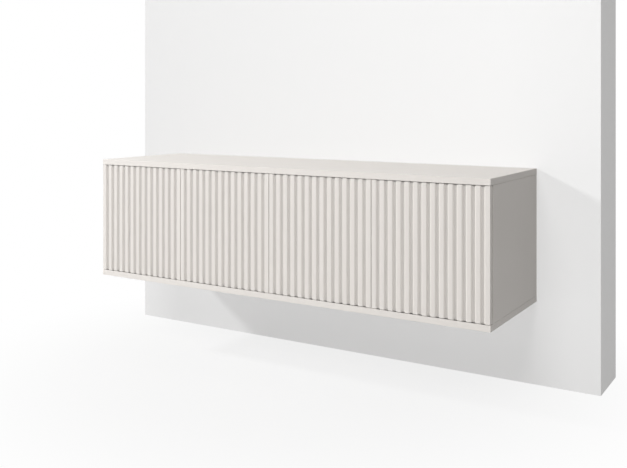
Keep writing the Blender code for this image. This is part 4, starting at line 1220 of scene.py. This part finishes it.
def world_light():
    """Warm light from all round, seen by the camera as white."""
    world = bpy.data.worlds.new("studio")
    bpy.context.scene.world = world
    world.use_nodes = True
    tree = world.node_tree
    room = tree.nodes["Background"]
    room.inputs["Color"].default_value = (1.0, 0.975, 0.940, 1.0)
    room.inputs["Strength"].default_value = sizes("stage").room_light
    white = add_node(tree, "Background", (0, -200), {"Color": (1.0, 1.0, 1.0, 1.0)})
    mix = add_node(tree, "MixShader", (300, 0))
    wire(tree, (seen_directly(tree), 0, mix, 0), (room, 0, mix, 1), (white, 0, mix, 2),
         (mix, 0, tree.nodes["World Output"], "Surface"))


def soft_lamp(name, azimuth, elevation, size, power):
    """A large disc lamp aimed at the cabinet; azimuth, in degrees, is 0 in front and 90 at the right."""
    data = bpy.data.lights.new(name, "AREA")
    data.shape, data.size, data.energy = "DISK", size, power
    lamp = bpy.data.objects.new(name, data)
    bpy.context.scene.collection.objects.link(lamp)
    turn, rise = math.radians(azimuth), math.radians(elevation)
    way = Vector((math.sin(turn) * math.cos(rise), -math.cos(turn) * math.cos(rise), math.sin(rise)))
    lamp.location = (LOW + HIGH) / 2 + way * sizes("stage").lamp_distance
    lamp.rotation_euler = (-way).to_track_quat("-Z", "Y").to_euler()
    return lamp


class CABINET_OT_stage(bpy.types.Operator):
    """Make the floor, the wall, the lights and the camera"""
    bl_idname = "cabinet.stage"
    bl_label = "Stage"

    def execute(self, context):
        stage, scene = sizes("stage"), context.scene
        floor_z, wall_y, far = -stage.floor_drop, HIGH.y + 0.0005, 14.0
        left, right, top, rear = -0.878, 0.887, 2.4, wall_y + 0.195
        flat_piece("studio_floor", [(x, y, floor_z) for x, y in oblong(-far, -far, far, far)],
                   floor_material())
        flat_piece("studio_wall", [(x, wall_y, z) for x, z in oblong(left, floor_z, right, top)],
                   wall_material("studio_wall", glow_share=0.45, left_level=0.60, right_level=0.89))
        # The wall's end takes less glow and a darker colour: painted shade on its side face
        flat_piece("studio_wall_end", [(right, y, z) for y, z in oblong(wall_y, floor_z, rear, top)],
                   wall_material("studio_wall_end", glow_share=0.28, left_level=0.80, right_level=0.80))
        world_light()
        soft_lamp("left_lamp", -67, 28, stage.left_size, stage.left_power)
        soft_lamp("top_lamp", 6, 36, stage.lamp_size, stage.top_power)
        soft_lamp("back_lamp", 180, 10, stage.lamp_size, stage.back_power).visible_glossy = False
        data = bpy.data.cameras.new("photo_camera")
        data.lens, data.sensor_width = stage.lens, 36.0
        data.shift_x, data.shift_y = stage.side_shift, stage.shift
        camera = bpy.data.objects.new("photo_camera", data)
        scene.collection.objects.link(camera)
        camera.location, camera.rotation_euler = CAMERA_PLACE, (math.pi / 2, 0.0, stage.heading)
        scene.camera = camera
        scene.view_settings.view_transform = "Standard"
        return {"FINISHED"}


# Panel and registration

OPERATORS = (CABINET_OT_stage, CABINET_OT_boards, CABINET_OT_joints, CABINET_OT_leaves,
             CABINET_OT_hinges, CABINET_OT_latches, CABINET_OT_hanging)
GROUPS = {"finishes": CabinetFinishes, "leaves": CabinetLeaves, "boards": CabinetBoards,
          "hinges": CabinetHinges, "stage": CabinetStage}


class CABINET_PT_panel(bpy.types.Panel):
    """Lists the cabinet's pieces and their sizes"""
    bl_idname = "CABINET_PT_panel"
    bl_label = "TV cabinet"
    bl_space_type = "VIEW_3D"
    bl_region_type = "UI"
    bl_category = "Cabinet"

    def draw(self, context):
        for operator in OPERATORS:
            self.layout.operator(operator.bl_idname)
        for name, kind in GROUPS.items():
            box = self.layout.box()
            for key in kind.__annotations__:
                box.prop(getattr(context.scene, "cabinet_" + name), key)


def register():
    for kind in (*GROUPS.values(), *OPERATORS, CABINET_PT_panel):
        bpy.utils.register_class(kind)
    for name, kind in GROUPS.items():
        setattr(bpy.types.Scene, "cabinet_" + name, PointerProperty(type=kind))


def unregister():
    for name in GROUPS:
        delattr(bpy.types.Scene, "cabinet_" + name)
    for kind in (CABINET_PT_panel, *OPERATORS, *GROUPS.values()):
        bpy.utils.unregister_class(kind)


def main():
    register()
    bpy.ops.cabinet.stage()
    bpy.ops.cabinet.boards()
    bpy.ops.cabinet.joints()
    bpy.ops.cabinet.leaves()
    bpy.ops.cabinet.hinges()
    bpy.ops.cabinet.latches()
    bpy.ops.cabinet.hanging()


if __name__ == "__main__":
    main()
